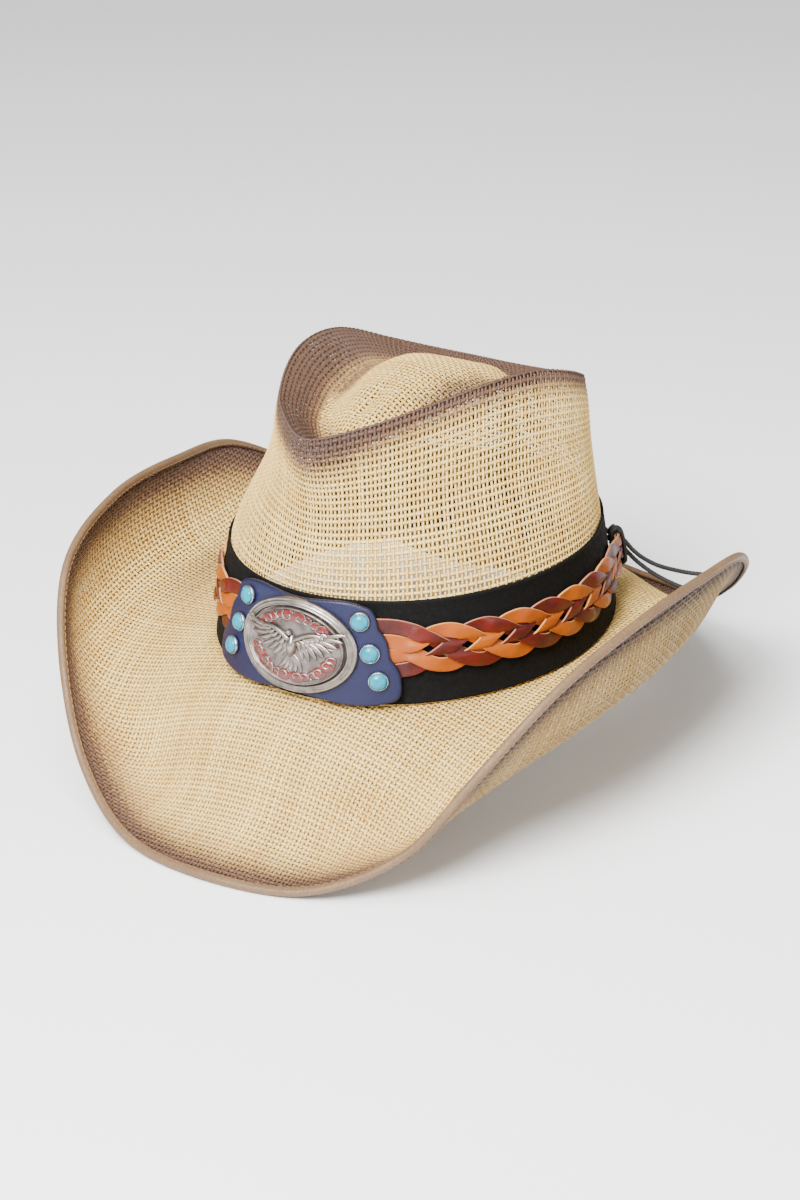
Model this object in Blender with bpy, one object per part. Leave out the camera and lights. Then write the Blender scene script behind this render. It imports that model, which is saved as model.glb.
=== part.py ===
"""Western straw hat with a braided leather hatband, built as an assembly of separate pieces.

Frame: the origin is the centre of the head opening, in the plane where the brim meets the crown.
+Z is up, -Y is the front of the hat and +X is the wearer's left. The driving sizes below are in
millimetres, and MM turns them into Blender's metres.
"""
import math

import bmesh
import bpy
import numpy as np

MM = 0.001
GAP = 0.3                       # clearance left between neighbouring pieces

# Head oval: the outside of the crown wall, where it meets the brim and at the ribbon's top.
BASE_HALF_LENGTH = 102.0
BASE_HALF_WIDTH = 87.0
TAPER_LENGTH = 0.160            # half length lost per millimetre of height
TAPER_WIDTH = 0.147

# Crown. The ridge runs round the crease, given every 20 degrees from front to back, wearer's left side.
COLUMNS = 48                    # columns of faces round the crown and the brim
STRAW = 1.2                     # thickness of the crown's straw
RIDGE = ((0, -91, 116), (21, -77, 120.5), (37, -52, 125), (48.5, -23, 128), (55.5, 12, 125),
         (58, 37, 117.5), (53, 59, 108), (40, 76, 100.5), (21, 85.5, 96.5), (0, 88.5, 95))
RIBBON_TOP = 46.6
WALL_BULGE = (-1.8, -3.0)       # mean outward bulge of the wall above the ribbon, and its front share
SHOULDER = 5.0                  # distance from the ridge to where its rounding starts
SPINE_FRONT = -42.0             # the dome's crest line, on the centre plane
SPINE_BACK = 50.0
SPINE_HEIGHTS = ((-42, 114), (-25, 121.5), (-5, 125), (15, 121.5), (35, 113.5), (50, 106.5))
CREASE_DEPTHS = ((0, 11), (60, 15), (110, 9), (150, 4), (180, 1.5))  # depth below the ridge, by angle
CREASE_AT = 0.44                # the crease's bottom, as a share of the way from the ridge to the crest
FLANK_AT = 0.76                 # a place on the dome's flank, counted the same way
FLANK_RISE = 0.78               # how much of the dome's height the flank has reached
CROWN_STOPS = (0, 1, 2, 2.5, 3, 3.6, 4, 4.5, 5, 5.5, 6, 6.5, 7, 7.5, 8, 8.5, 9)

# Brim. Its edge is given every 15 degrees from front to back, wearer's left side.
EDGE = ((0, -177, -54), (50, -168, -51), (83, -150.5, -33), (106, -130.5, 1), (126, -98, 33.5),
        (137, -46, 47.5), (139.5, 8, 47.5), (138.5, 47, 43), (129, 79, 26), (105, 115.5, -4.5),
        (72, 149, -30), (37, 166.5, -35.5), (0, 170.5, -33.5))
BREAK_SLOPE = (-9, -10, -10)    # degrees: mean, then the cosine terms of the angle round the hat
EDGE_SLOPE = (48, 0, -39, -21)
BREAK_HANDLE = 0.60             # how long each slope holds, as a share of the brim's chord
EDGE_HANDLE = 0.58
LIP = 3.2                       # how far the brim runs in under the crown wall
PLY = 0.7                       # thickness of each of the brim's two plies
BRIM_STOPS = (0.0, 0.17, 0.34, 0.5, 0.66, 0.82)

# Hem: a strip folded over the brim's edge, with the wire in its fold.
HEM = 0.6
HEM_REACH = 5.2                 # how far the strip laps over each ply
HEM_OUTER = 1.75                # radius of the fold, from the middle of the two plies
HEM_INNER = HEM_OUTER - HEM
WIRE_RADIUS = 0.75
PLY_END = HEM_OUTER + WIRE_RADIUS + 0.35

# Ribbon and sweatband.
RIBBON = 0.9
RIBBON_BOTTOM = 3.5
SWEATBAND = 0.9
SWEATBAND_TOP = 30.0

# Hatband. Its places are (along, up, out): along the ribbon from the front, up from the band's
# middle line, and out from the ribbon's face.
BAND_FRONT = 27.0               # height of the middle line at the front
BAND_BACK = 21.5
PLAQUE_BACK = 2.2
PLAQUE_FRONT = 4.2
PLAQUE_TOP = ((0, 19), (30.5, 19), (33.5, 17.8), (35.8, 14.5), (36.6, 10), (39, 7), (41, 3), (41.8, -3),
              (44.2, -6.5), (46.4, -11), (46.8, -16))
PLAQUE_BOTTOM = ((0, -23), (41.5, -23), (44.5, -22), (46.2, -20), (46.8, -17))
PLAQUE_ROWS = 4

STRAP_WIDTH = 4.0
STRAP = 1.1
BRAID_HALF = 9.8                # from the middle line to an outer strap's centre
BRAID_PERIOD = 69.2
BRAID_PHASE = 66.0              # where the first strap reaches the top edge
FAN_PITCH = 8.6                 # spacing of the straps where they come out of the plaque
STRAP_START = 31.0
WEAVE = 1.55                    # how far a strap rises or sinks at a crossing
WEAVE_START = 47.0
WEAVE_FULL = 54.0
BRAID_END_ANGLE = 134.0
NARROW_LENGTH = 30.0            # the braid is drawn together over its last stretch
NARROW = 0.5
LIFT_START = 26.0               # where, before its end, the braid starts to leave the ribbon
STRAP_STATIONS = 16             # to each turn of the braid
LIFT_AT_WRAP = 2.4              # room for the cord between the bound strap ends and the ribbon
STRAP_REST = GAP + 0.1 + STRAP / 2   # a strap's middle when it lies on the ribbon
FAN_ORDER = (0.5, 1.5, -0.5, -1.5)   # each strap's place at the plaque, counted from the middle line
FLAT_TOP = 1.9                  # holds a strap at its full height until it has left the crossing

BUCKLE_HALF_LENGTH = 27.8
BUCKLE_HALF_HEIGHT = 20.6
BUCKLE_ALONG = 1.2              # the buckle and studs sit a little to the wearer's left
BUCKLE_UP = -1.4
BUCKLE_BASE = PLAQUE_FRONT + GAP
STUDS = ((28.2, 13.2), (32.6, -0.6), (36.2, -12.6))   # from the buckle's centre line
STUD_RADIUS = 4.1
SCREW_SPREAD = 17.0             # from the buckle's centre to each of its screws
SCREW_HOLE = 2.0
BIRD_TOP = ((0, 7.0), (2.5, 6.0), (4, 3.5), (8, 7.5), (13, 10.5), (18, 11.0), (21, 9.0))
BIRD_BOTTOM = ((0, -10.5), (2.5, -9.5), (4, -3.5), (8, -1.0), (13, 2.0), (18, 5.0), (21, 7.5))

WRAP_OUT = STRAP_REST + WEAVE + LIFT_AT_WRAP   # the bound strap ends' middle
CORD_RADIUS = 1.1
WRAP_LENGTH = 8.0
WRAP_TURNS = 4
WRAP_GROOVE = 1.1               # thickness of the binding between two turns, and on top of one
WRAP_RIB = 1.8
WRAP_ROOM = 0.45                # from the strap ends to the binding round them
WRAP_SQUARENESS = 0.62          # 0 is an oval section, 1 a rectangle
KNOT = (3.4, 4.2, 3.0)          # half sizes along, up and out
STRAND_UPPER = ((64.5, 80.2, 21.0), (71, 78.5, 17.2), (84, 73.5, 15.4), (97, 69.8, 16.4), (108, 68, 17.8),
                (115.5, 69, 18.4), (118, 73.5, 17.0), (116.2, 80.5, 13.3), (110.5, 88, 7.6))
STRAND_LOWER = ((66.0, 76.6, 19.0), (71.5, 79, 12.6), (79, 80.5, 7.6), (88, 82, 3.8), (96, 84, 1.4),
                (101.5, 87.5, -0.1), (103, 93.5, -0.8), (99.5, 99.5, -3.8))
END_KNOT_RADIUS = 2.0


# ---------------------------------------------------------------- scene and materials

def clear_scene():
    for item in list(bpy.data.objects):
        bpy.data.objects.remove(item, do_unlink=True)


def principled(name, colour, roughness, metallic=0.0):
    material = bpy.data.materials.new(name)
    material.use_nodes = True
    shader = material.node_tree.nodes["Principled BSDF"]
    shader.inputs["Base Color"].default_value = (*colour, 1.0)
    shader.inputs["Roughness"].default_value = roughness
    shader.inputs["Metallic"].default_value = metallic
    material.diffuse_color = (*colour, 1.0)
    return material


def add_piece(name, points, faces, material, parent, sharp_angle=50.0):
    """A mesh object from points in millimetres, its faces turned outward."""
    mesh = bpy.data.meshes.new(name)
    mesh.from_pydata([tuple(float(c) * MM for c in point) for point in points], [], faces)
    work = bmesh.new()
    work.from_mesh(mesh)
    bmesh.ops.remove_doubles(work, verts=work.verts, dist=1e-6)
    bmesh.ops.recalc_face_normals(work, faces=work.faces)
    work.to_mesh(mesh)
    work.free()
    mesh.shade_smooth()
    mesh.set_sharp_from_angle(angle=math.radians(sharp_angle))
    mesh.materials.append(material)
    piece = bpy.data.objects.new(name, mesh)
    bpy.context.scene.collection.objects.link(piece)
    piece.parent = parent
    return piece


def add_empty(name):
    empty = bpy.data.objects.new(name, None)
    bpy.context.scene.collection.objects.link(empty)
    return empty


# ---------------------------------------------------------------- curves and grids

def smooth_curve(points, stops, closed=False):
    """A smooth curve through the points, read at stops counted in points."""
    points = np.asarray(points, float)
    count = len(points)
    if closed:
        points = np.concatenate([points[-2:], points, points[:3]])
    else:
        points = np.concatenate([[2 * points[0] - points[1]], points, [2 * points[-1] - points[-2]]])
    steps = np.maximum(np.linalg.norm(np.diff(points, axis=0), axis=1), 1e-6)
    slopes = np.diff(points, axis=0) / steps[:, None]
    spans = (steps[:-1] + steps[1:])[:, None]
    tangents = (slopes[:-1] * steps[1:, None] + slopes[1:] * steps[:-1, None]) / spans
    lead = 2 if closed else 1
    result = []
    for stop in stops:
        first = int(math.floor(stop)) if closed else min(int(stop), count - 2)
        share = stop - first
        first = first % count if closed else first
        a = first + lead
        length = steps[a]
        h = share * share * (3 - 2 * share)
        bend_a = share * (1 - share) ** 2 * length
        bend_b = -share * share * (1 - share) * length
        place = points[a] * (1 - h) + points[a + 1] * h
        result.append(place + tangents[a - 1] * bend_a + tangents[a] * bend_b)
    return np.array(result)


def mirrored_ring(half):
    """The full closed ring of points from its half on the wearer's left side."""
    other = [(-x, y, z) for x, y, z in half[1:-1][::-1]]
    return list(half) + other


def unit(vectors):
    return vectors / np.maximum(np.linalg.norm(vectors, axis=-1, keepdims=True), 1e-9)


def grid_normals(grid):
    """Upper or outer normals of a grid of rows that closes round its columns."""
    along = np.gradient(grid, axis=0)
    around = np.roll(grid, -1, axis=1) - np.roll(grid, 1, axis=1)
    return unit(np.cross(along, around))


def ring_faces(rows, columns, closed_rows=False):
    faces = []
    for row in range(rows if closed_rows else rows - 1):
        below = row * columns
        above = (row + 1) % rows * columns
        for column in range(columns):
            after = (column + 1) % columns
            faces.append((below + column, below + after, above + after, above + column))
    return faces


def add_ring(name, loop_rows, material, parent):
    """A closed body swept round the hat, from rows that make up its cross-section in order.

    Every diagonal runs the same way from the inner row to the outer one, so that neighbouring
    skins of the same surface stay parallel.
    """
    rows = np.asarray(loop_rows)
    columns = rows.shape[1]
    reach = np.linalg.norm(rows[:, :, :2], axis=2).mean(axis=1)
    faces = []
    for row, (a, b, c, d) in enumerate(ring_faces(len(rows), columns, closed_rows=True)):
        here = row // columns
        outward_row = reach[(here + 1) % len(rows)] >= reach[here]
        faces += [(a, b, c), (a, c, d)] if outward_row else [(a, b, d), (b, c, d)]
    return add_piece(name, rows.reshape(-1, 3), faces, material, parent)


ANGLES = np.arange(COLUMNS) * 2 * math.pi / COLUMNS


def oval(angle, height, outset=0.0):
    """A point on the crown wall below the ribbon's top, moved out by outset."""
    across = BASE_HALF_WIDTH - TAPER_WIDTH * height + outset
    lengthwise = BASE_HALF_LENGTH - TAPER_LENGTH * height + outset
    return np.array((across * math.sin(angle), -lengthwise * math.cos(angle), height))


def oval_ring(height, outset):
    return np.array([oval(angle, height, outset) for angle in ANGLES])


def outward(angle):
    normal = np.array((math.sin(angle) / BASE_HALF_WIDTH, -math.cos(angle) / BASE_HALF_LENGTH, 0.0))
    return unit(normal)


def cosine_sum(terms, angle):
    return sum(term * math.cos(order * angle) for order, term in enumerate(terms))


# ---------------------------------------------------------------- crown

def crown_line(angle, ridge):
    """The crown's section from the brim up over the ridge, down the crease and up to the dome."""
    top_of_ribbon = oval(angle, RIBBON_TOP)
    front_share = math.cos(angle)
    middle = (top_of_ribbon + ridge) / 2 + outward(angle) * (WALL_BULGE[0] + WALL_BULGE[1] * front_share)
    reach = (ridge[1] - RIDGE[0][1]) / (RIDGE[-1][1] - RIDGE[0][1])
    crest_y = SPINE_FRONT + (SPINE_BACK - SPINE_FRONT) * reach
    heights = np.array(SPINE_HEIGHTS, float)
    crest = np.array((0.0, crest_y, np.interp(crest_y, heights[:, 0], heights[:, 1])))
    fold = abs(math.degrees(math.atan2(math.sin(angle), math.cos(angle))))
    depths = np.array(CREASE_DEPTHS, float)
    depth = np.interp(fold, depths[:, 0], depths[:, 1])
    inward = crest - ridge
    crease = ridge + inward * CREASE_AT
    crease[2] = min(ridge[2] - depth, crest[2] - depth / 4)
    flank = ridge + inward * FLANK_AT
    flank[2] = crease[2] + FLANK_RISE * (crest[2] - crease[2])
    wall = unit(middle - ridge)
    slope = unit(crease - ridge)
    outer_shoulder = ridge + wall * SHOULDER + outward(angle) * 0.6
    inner_shoulder = ridge + slope * SHOULDER + np.array((0, 0, 0.5))
    lower = [oval(angle, height) for height in (GAP, RIBBON_TOP / 2, RIBBON_TOP)]
    return lower + [middle, outer_shoulder, ridge, inner_shoulder, crease, flank, crest]


def crown_grid():
    ridge_ring = mirrored_ring(RIDGE)
    ridge = smooth_curve(ridge_ring, [k * len(ridge_ring) / COLUMNS for k in range(COLUMNS)], closed=True)
    columns = []
    for angle, top in zip(ANGLES, ridge):
        line = crown_line(angle, top)
        beyond = line[-2] * np.array((-1, 1, 1))
        columns.append(smooth_curve(line + [beyond], CROWN_STOPS))
    grid = np.array(columns).transpose(1, 0, 2)
    grid[-1, :, 0] = 0.0
    return grid


def add_crown(material, parent):
    grid = crown_grid()
    faces = ring_faces(len(grid), COLUMNS)
    crown = add_piece("crown", grid.reshape(-1, 3), faces, material, parent)
    shell = crown.modifiers.new("straw", "SOLIDIFY")
    shell.thickness = STRAW * MM
    shell.offset = -1.0
    shell.use_even_offset = True
    return crown


# ---------------------------------------------------------------- brim

def brim_line(angle, edge, samples=60):
    """The brim's upper face from the break to the edge, as a dense line."""
    start = oval(angle, 0.0)
    away = edge - start
    chord = np.linalg.norm(away)
    heading = unit(away * np.array((1, 1, 0)))
    first = math.radians(cosine_sum(BREAK_SLOPE, angle))
    last = math.radians(cosine_sum(EDGE_SLOPE, angle))
    up = np.array((0, 0, 1.0))
    a = start + (outward(angle) * math.cos(first) + up * math.sin(first)) * chord * BREAK_HANDLE
    b = edge - (heading * math.cos(last) + up * math.sin(last)) * chord * EDGE_HANDLE
    t = np.linspace(0, 1, samples)[:, None]
    return (1 - t) ** 3 * start + 3 * t * (1 - t) ** 2 * a + 3 * t * t * (1 - t) * b + t ** 3 * edge


def brim_grid():
    """Rows from the lip under the crown to the edge; the last four are counted from the edge."""
    edge_ring = mirrored_ring(EDGE)
    edge = smooth_curve(edge_ring, [k * len(edge_ring) / COLUMNS for k in range(COLUMNS)], closed=True)
    columns = []
    for angle, tip in zip(ANGLES, edge):
        line = brim_line(angle, tip)
        length = np.concatenate([[0], np.cumsum(np.linalg.norm(np.diff(line, axis=0), axis=1))])
        total = length[-1]
        stops = [stop * total for stop in BRIM_STOPS] + [total - HEM_REACH, total - PLY_END,
                                                         total - HEM_OUTER, total]
        places = [np.interp(stops, length, line[:, axis]) for axis in range(3)]
        lip = oval(angle, 0.0, -LIP)
        columns.append(np.vstack([lip, np.array(places).T]))
    return np.array(columns).transpose(1, 0, 2)


def add_brim(straw, hem_straw, steel, parent):
    grid = brim_grid()
    normals = grid_normals(grid)
    ply_rows = slice(0, -2)
    top, lift = grid[ply_rows], normals[ply_rows]
    add_ring("brim_top_ply", np.concatenate([top, (top - PLY * lift)[::-1]]), straw, parent)
    under = top - (PLY + GAP) * lift
    add_ring("brim_under_ply", np.concatenate([under, (under - PLY * lift)[::-1]]), straw, parent)

    middle = grid - (PLY + GAP / 2) * normals
    lap, end, fold = -4, -3, -2
    heading = unit(grid[-1] - grid[end])
    turns = [math.radians(degrees) for degrees in (90, 45, 0, -45, -90)]

    def nose(radius):
        return [middle[fold] + radius * (math.cos(turn) * heading + math.sin(turn) * normals[fold])
                for turn in turns]

    def leg(row, offset):
        return middle[row] + offset * normals[row]

    outer = [leg(lap, HEM_OUTER), leg(end, HEM_OUTER)] + nose(HEM_OUTER)[1:-1]
    outer += [leg(end, -HEM_OUTER), leg(lap, -HEM_OUTER)]
    inner = [leg(lap, -HEM_INNER), leg(end, -HEM_INNER)] + nose(HEM_INNER)[::-1][1:-1]
    inner += [leg(end, HEM_INNER), leg(lap, HEM_INNER)]
    add_ring("brim_hem", outer + inner, hem_straw, parent)
    sides = [2 * math.pi * k / 6 for k in range(6)]
    wire = [middle[fold] + WIRE_RADIUS * (math.cos(side) * heading + math.sin(side) * normals[fold])
            for side in sides]
    add_ring("brim_wire", wire, steel, parent)


def add_ribbon_and_sweatband(ribbon_cloth, sweat_cloth, parent):
    inside, outside = GAP, GAP + RIBBON
    middle = (RIBBON_BOTTOM + RIBBON_TOP) / 2
    heights = (RIBBON_BOTTOM, middle, RIBBON_TOP)
    rows = [oval_ring(z, outside) for z in heights] + [oval_ring(z, inside) for z in heights[::-1]]
    add_ring("hat_ribbon", rows, ribbon_cloth, parent)
    outside, inside = -STRAW - GAP, -STRAW - GAP - SWEATBAND
    heights = (2 * GAP, SWEATBAND_TOP)
    rows = [oval_ring(z, outside) for z in heights] + [oval_ring(z, inside) for z in heights[::-1]]
    add_ring("sweatband", rows, sweat_cloth, parent)


# ---------------------------------------------------------------- hatband

BAND_TABLE = np.linspace(0, math.pi, 721)


def band_lengths():
    line = np.array([oval(angle, BAND_FRONT, GAP + RIBBON) for angle in BAND_TABLE])
    return np.concatenate([[0], np.cumsum(np.linalg.norm(np.diff(line, axis=0), axis=1))])


BAND_LENGTHS = band_lengths()
STRAP_END = float(np.interp(math.radians(BRAID_END_ANGLE), BAND_TABLE, BAND_LENGTHS))


def band_point(along, up, out):
    """The world place of a point given along, up and out from the ribbon's face."""
    angle = math.copysign(float(np.interp(abs(along), BAND_LENGTHS, BAND_TABLE)), along)
    share = abs(along) / BAND_LENGTHS[-1]
    height = BAND_FRONT + (BAND_BACK - BAND_FRONT) * share + up
    return oval(angle, height, GAP + RIBBON + out)


def plate_points(centre, stations, top, bottom, rows, outs):
    """Places of a plate that follows the ribbon, between two outlines, back face first."""
    tops = [outline_height(top, abs(s)) for s in stations]
    bottoms = [outline_height(bottom, abs(s)) for s in stations]
    places = []
    for out in outs:
        for s, high, low in zip(stations, tops, bottoms):
            for row in range(rows + 1):
                up = low + (high - low) * row / rows
                places.append(band_point(centre[0] + s, centre[1] + up, out))
    return places


def outline_height(outline, along):
    """The outline's height at a distance from the front, on straight lines between its points."""
    outline = np.array(outline, float)
    return float(np.interp(along, outline[:, 0], outline[:, 1]))


def plate_faces(columns, rows):
    """Front, back and rim faces of a plate of columns by rows of points."""
    side = columns * (rows + 1)
    faces = []
    for c in range(columns - 1):
        for r in range(rows):
            a = c * (rows + 1) + r
            b = a + rows + 1
            faces.append((a, a + 1, b + 1, b))
            faces.append((side + a, side + b, side + b + 1, side + a + 1))
        for r in (0, rows):
            a = c * (rows + 1) + r
            b = a + rows + 1
            faces.append((a, b, side + b, side + a))
    for c in (0, columns - 1):
        for r in range(rows):
            a = c * (rows + 1) + r
            faces.append((a, a + 1, side + a + 1, side + a))
    return faces


def add_plate(name, centre, top, bottom, rows, outs, material, parent, step=6.0):
    """A plate round a centre on the band, its outlines given for one half and mirrored."""
    ends = sorted({s for s, _ in top} | {s for s, _ in bottom})
    half = []
    for a, b in zip(ends[:-1], ends[1:]):
        pieces = max(1, round((b - a) / step))
        half += [a + (b - a) * k / pieces for k in range(pieces)]
    half.append(ends[-1])
    stations = [-s for s in half[:0:-1]] + half
    places = plate_points(centre, stations, top, bottom, rows, outs)
    return add_piece(name, places, plate_faces(len(stations), rows), material, parent, 35.0)


def add_oval_disc(name, centre, halves, profile, sides, material, parent):
    """A closed body turned from a profile of (share of the half size, out), laid on the band."""
    along, up = centre
    places = []
    for share, out in profile:
        turns = 1 if share == 0 else sides
        for k in range(turns):
            turn = 2 * math.pi * k / sides
            places.append(band_point(along + share * halves[0] * math.cos(turn),
                                     up + share * halves[1] * math.sin(turn), out))
    faces = []
    rings = len(profile) - 2
    for ring in range(rings - 1):
        below, above = 1 + ring * sides, 1 + (ring + 1) * sides
        for k in range(sides):
            after = (k + 1) % sides
            faces.append((below + k, below + after, above + after, above + k))
    last = 1 + (rings - 1) * sides
    pole = last + sides
    for k in range(sides):
        after = (k + 1) % sides
        faces.append((0, 1 + after, 1 + k))
        faces.append((last + k, last + after, pole))
    return add_piece(name, places, faces, material, parent, 35.0)


def weave_height(up, falling):
    """How far a strap stands out at a height across the braid, as a share of WEAVE."""
    crossing = BRAID_HALF * math.sqrt(0.5)
    if abs(up) <= crossing:
        share = -math.cos(math.pi * up / crossing)
    else:
        share = max(0.0, 1 - (abs(up) - crossing) / (BRAID_HALF + STRAP_WIDTH / 2 - crossing))
    return max(-1.0, min(1.0, FLAT_TOP * share)) * falling


def ease(value, start, end):
    share = min(max((value - start) / (end - start), 0.0), 1.0)
    return share * share * (3 - 2 * share)


def strap_centre(strap, s):
    """Height of a strap's centre line across the band, and 1 where it falls or -1 where it rises."""
    turn = 2 * math.pi * (s - BRAID_PHASE) / BRAID_PERIOD + strap * math.pi / 2
    fan = FAN_ORDER[strap] * FAN_PITCH
    blend = ease(s, WEAVE_START, WEAVE_FULL)
    first = 2 * math.pi * (WEAVE_FULL - BRAID_PHASE) / BRAID_PERIOD + strap * math.pi / 2
    braided = BRAID_HALF * math.cos(max(turn, first))
    falling = max(-1.0, min(1.0, 2.5 * math.sin(max(turn, first))))
    return fan + (braided - fan) * blend, falling


def strap_stations():
    """Places along a strap, in step with its crossings, and its two ends."""
    step = BRAID_PERIOD / STRAP_STATIONS
    first = BRAID_PHASE - step * int((BRAID_PHASE - STRAP_START) / step)
    inner = [s for s in np.arange(first, STRAP_END, step) if STRAP_START + 1 < s < STRAP_END - 1]
    return [STRAP_START] + inner + [STRAP_END]


def strap_sections(strap):
    """Four corners of the strap's section at each station, as (along, up, out)."""
    stations = strap_stations()
    sections = []
    for s in stations:
        up, falling = strap_centre(strap, s)
        ahead, _ = strap_centre(strap, s + 0.5)
        before, _ = strap_centre(strap, s - 0.5)
        narrow = 1 - (1 - NARROW) * ease(s, STRAP_END - NARROW_LENGTH, STRAP_END - WRAP_LENGTH)
        slope = (ahead - before) * narrow
        length = math.hypot(1, slope)
        ramp = ease(s, WEAVE_START - 1, WEAVE_START + 5)
        raised = ease(s, STRAP_END - LIFT_START, STRAP_END - WRAP_LENGTH)
        lift = STRAP_REST + WEAVE * ramp + LIFT_AT_WRAP * raised
        corners = []
        for side, face in ((-1, -1), (1, -1), (1, 1), (-1, 1)):
            across = side * STRAP_WIDTH * narrow / 2
            corner_up = up * narrow + across / length
            corner_along = s - across * slope / length
            rise = WEAVE * ramp * weave_height(corner_up / narrow, falling)
            corners.append((min(corner_along, STRAP_END), corner_up, lift + rise + face * STRAP / 2))
        sections.append(corners)
    return sections


def add_strap(name, strap, side, material, parent):
    sections = strap_sections(strap)
    places = [band_point(side * along, up, out) for corners in sections for along, up, out in corners]
    faces = []
    for k in range(len(sections) - 1):
        a, b = 4 * k, 4 * (k + 1)
        for corner in range(4):
            after = (corner + 1) % 4
            faces.append((a + corner, a + after, b + after, b + corner))
    last = 4 * (len(sections) - 1)
    faces.append((0, 3, 2, 1))
    faces.append((last, last + 1, last + 2, last + 3))
    return add_piece(name, places, faces, material, parent, 40.0)


def add_braids(tan, oxblood, parent):
    for side, side_name in ((1, "left"), (-1, "right")):
        for strap, leather in enumerate((tan, oxblood, tan, oxblood)):
            add_strap(f"braid_{side_name}_strap_{strap + 1}", strap, side, leather, parent)


def add_buckle(pewter, enamel_metal, steel, parent):
    halves = (BUCKLE_HALF_LENGTH, BUCKLE_HALF_HEIGHT)
    base = BUCKLE_BASE
    floor = base + 1.3
    plate = ((0, base), (0.35, base), (0.7, base), (1, base), (1, base + 1.5), (0.965, base + 2.6),
             (0.9, base + 2.6), (0.86, floor), (0.55, floor), (0.28, floor), (0, floor))
    centre = (BUCKLE_ALONG, BUCKLE_UP)
    add_oval_disc("buckle_plate", centre, halves, plate, 24, pewter, parent)
    seat = floor + GAP
    medallion = ((0, seat), (0.37, seat), (0.74, seat), (0.78, seat + 1.2), (0.7, seat + 1.7),
                 (0.35, seat + 2.1), (0, seat + 2.3))
    add_oval_disc("buckle_medallion", centre, halves, medallion, 24, enamel_metal, parent)
    perch = seat + 2.3 + GAP
    add_plate("buckle_bird", centre, BIRD_TOP, BIRD_BOTTOM, 2, (perch, perch + 1.3), pewter, parent)
    shank, head = 1.6, 3.1
    for side, side_name in ((1, "left"), (-1, "right")):
        post = ((0, 0.4), (head, 0.4), (head, 1.3), (shank, 1.3), (shank, base - GAP), (0, base - GAP))
        place = (BUCKLE_ALONG + side * SCREW_SPREAD, BUCKLE_UP)
        add_oval_disc(f"buckle_screw_{side_name}", place, (1, 1), post, 12, steel, parent)


def add_plaque(leather, parent):
    plaque = add_plate("plaque", (0, 0), PLAQUE_TOP, PLAQUE_BOTTOM, PLAQUE_ROWS,
                       (PLAQUE_BACK, PLAQUE_FRONT), leather, parent)
    low, high = PLAQUE_BACK - 1, PLAQUE_FRONT + 1
    for side, side_name in ((1, "left"), (-1, "right")):
        bore = ((0, low), (SCREW_HOLE, low), (SCREW_HOLE, high), (0, high))
        place = (BUCKLE_ALONG + side * SCREW_SPREAD, BUCKLE_UP)
        cutter = add_oval_disc(f"screw_hole_{side_name}", place, (1, 1), bore, 12, leather, parent)
        cutter.hide_render = True
        cutter.display_type = "WIRE"
        cut = plaque.modifiers.new(f"screw_hole_{side_name}", "BOOLEAN")
        cut.operation = "DIFFERENCE"
        cut.object = cutter


def add_studs(silver, turquoise, parent):
    base = BUCKLE_BASE
    cup = ((0, base), (1, base), (1, base + 0.9), (0.93, base + 1.4), (0.86, base + 0.9), (0.84, base + 0.6),
           (0, base + 0.6))
    seat = base + 0.6 + GAP
    stone = ((0, seat), (0.74, seat), (0.8, seat + 0.7), (0.6, seat + 2.0), (0, seat + 2.6))
    halves = (STUD_RADIUS, STUD_RADIUS)
    places = [(BUCKLE_ALONG + side * along, up) for side in (1, -1) for along, up in STUDS]
    for number, place in enumerate(places, start=1):
        add_oval_disc(f"stud_setting_{number}", place, halves, cup, 12, silver, parent)
        add_oval_disc(f"stud_stone_{number}", place, halves, stone, 12, turquoise, parent)


# ---------------------------------------------------------------- tie cord

def add_tube(name, route, samples, material, parent, radius=CORD_RADIUS):
    """A round cord along a smooth curve through the route's own points, in millimetres."""
    line = smooth_curve(route, np.linspace(0, len(route) - 1, samples))
    curve = bpy.data.curves.new(name, "CURVE")
    curve.dimensions = "3D"
    spline = curve.splines.new("POLY")
    spline.points.add(len(line) - 1)
    for point, place in zip(spline.points, line):
        point.co = (*(place * MM), 1.0)
    curve.bevel_depth = radius * MM
    curve.bevel_resolution = 2
    curve.use_fill_caps = True
    curve.materials.append(material)
    tube = bpy.data.objects.new(name, curve)
    bpy.context.scene.collection.objects.link(tube)
    tube.parent = parent
    return tube


def add_knot(name, place, halves, material, parent, rings=4, sides=8):
    """A small rounded knot, as (along, up, out) half sizes round a place on the band."""
    along, up, out = place
    places = [band_point(along - halves[0], up, out)]
    for ring in range(1, rings):
        lean = math.pi * ring / rings
        for k in range(sides):
            turn = 2 * math.pi * k / sides
            places.append(band_point(along - halves[0] * math.cos(lean),
                                     up + halves[1] * math.sin(lean) * math.cos(turn),
                                     out + halves[2] * math.sin(lean) * math.sin(turn)))
    places.append(band_point(along + halves[0], up, out))
    return add_piece(name, places, ball_faces(rings, sides), material, parent, 80.0)


def ball_faces(rings, sides):
    faces = []
    for ring in range(rings - 2):
        below, above = 1 + ring * sides, 1 + (ring + 1) * sides
        for k in range(sides):
            after = (k + 1) % sides
            faces.append((below + k, below + after, above + after, above + k))
    last = 1 + (rings - 2) * sides
    for k in range(sides):
        after = (k + 1) % sides
        faces.append((0, 1 + after, 1 + k))
        faces.append((last + k, last + after, last + sides))
    return faces


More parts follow.
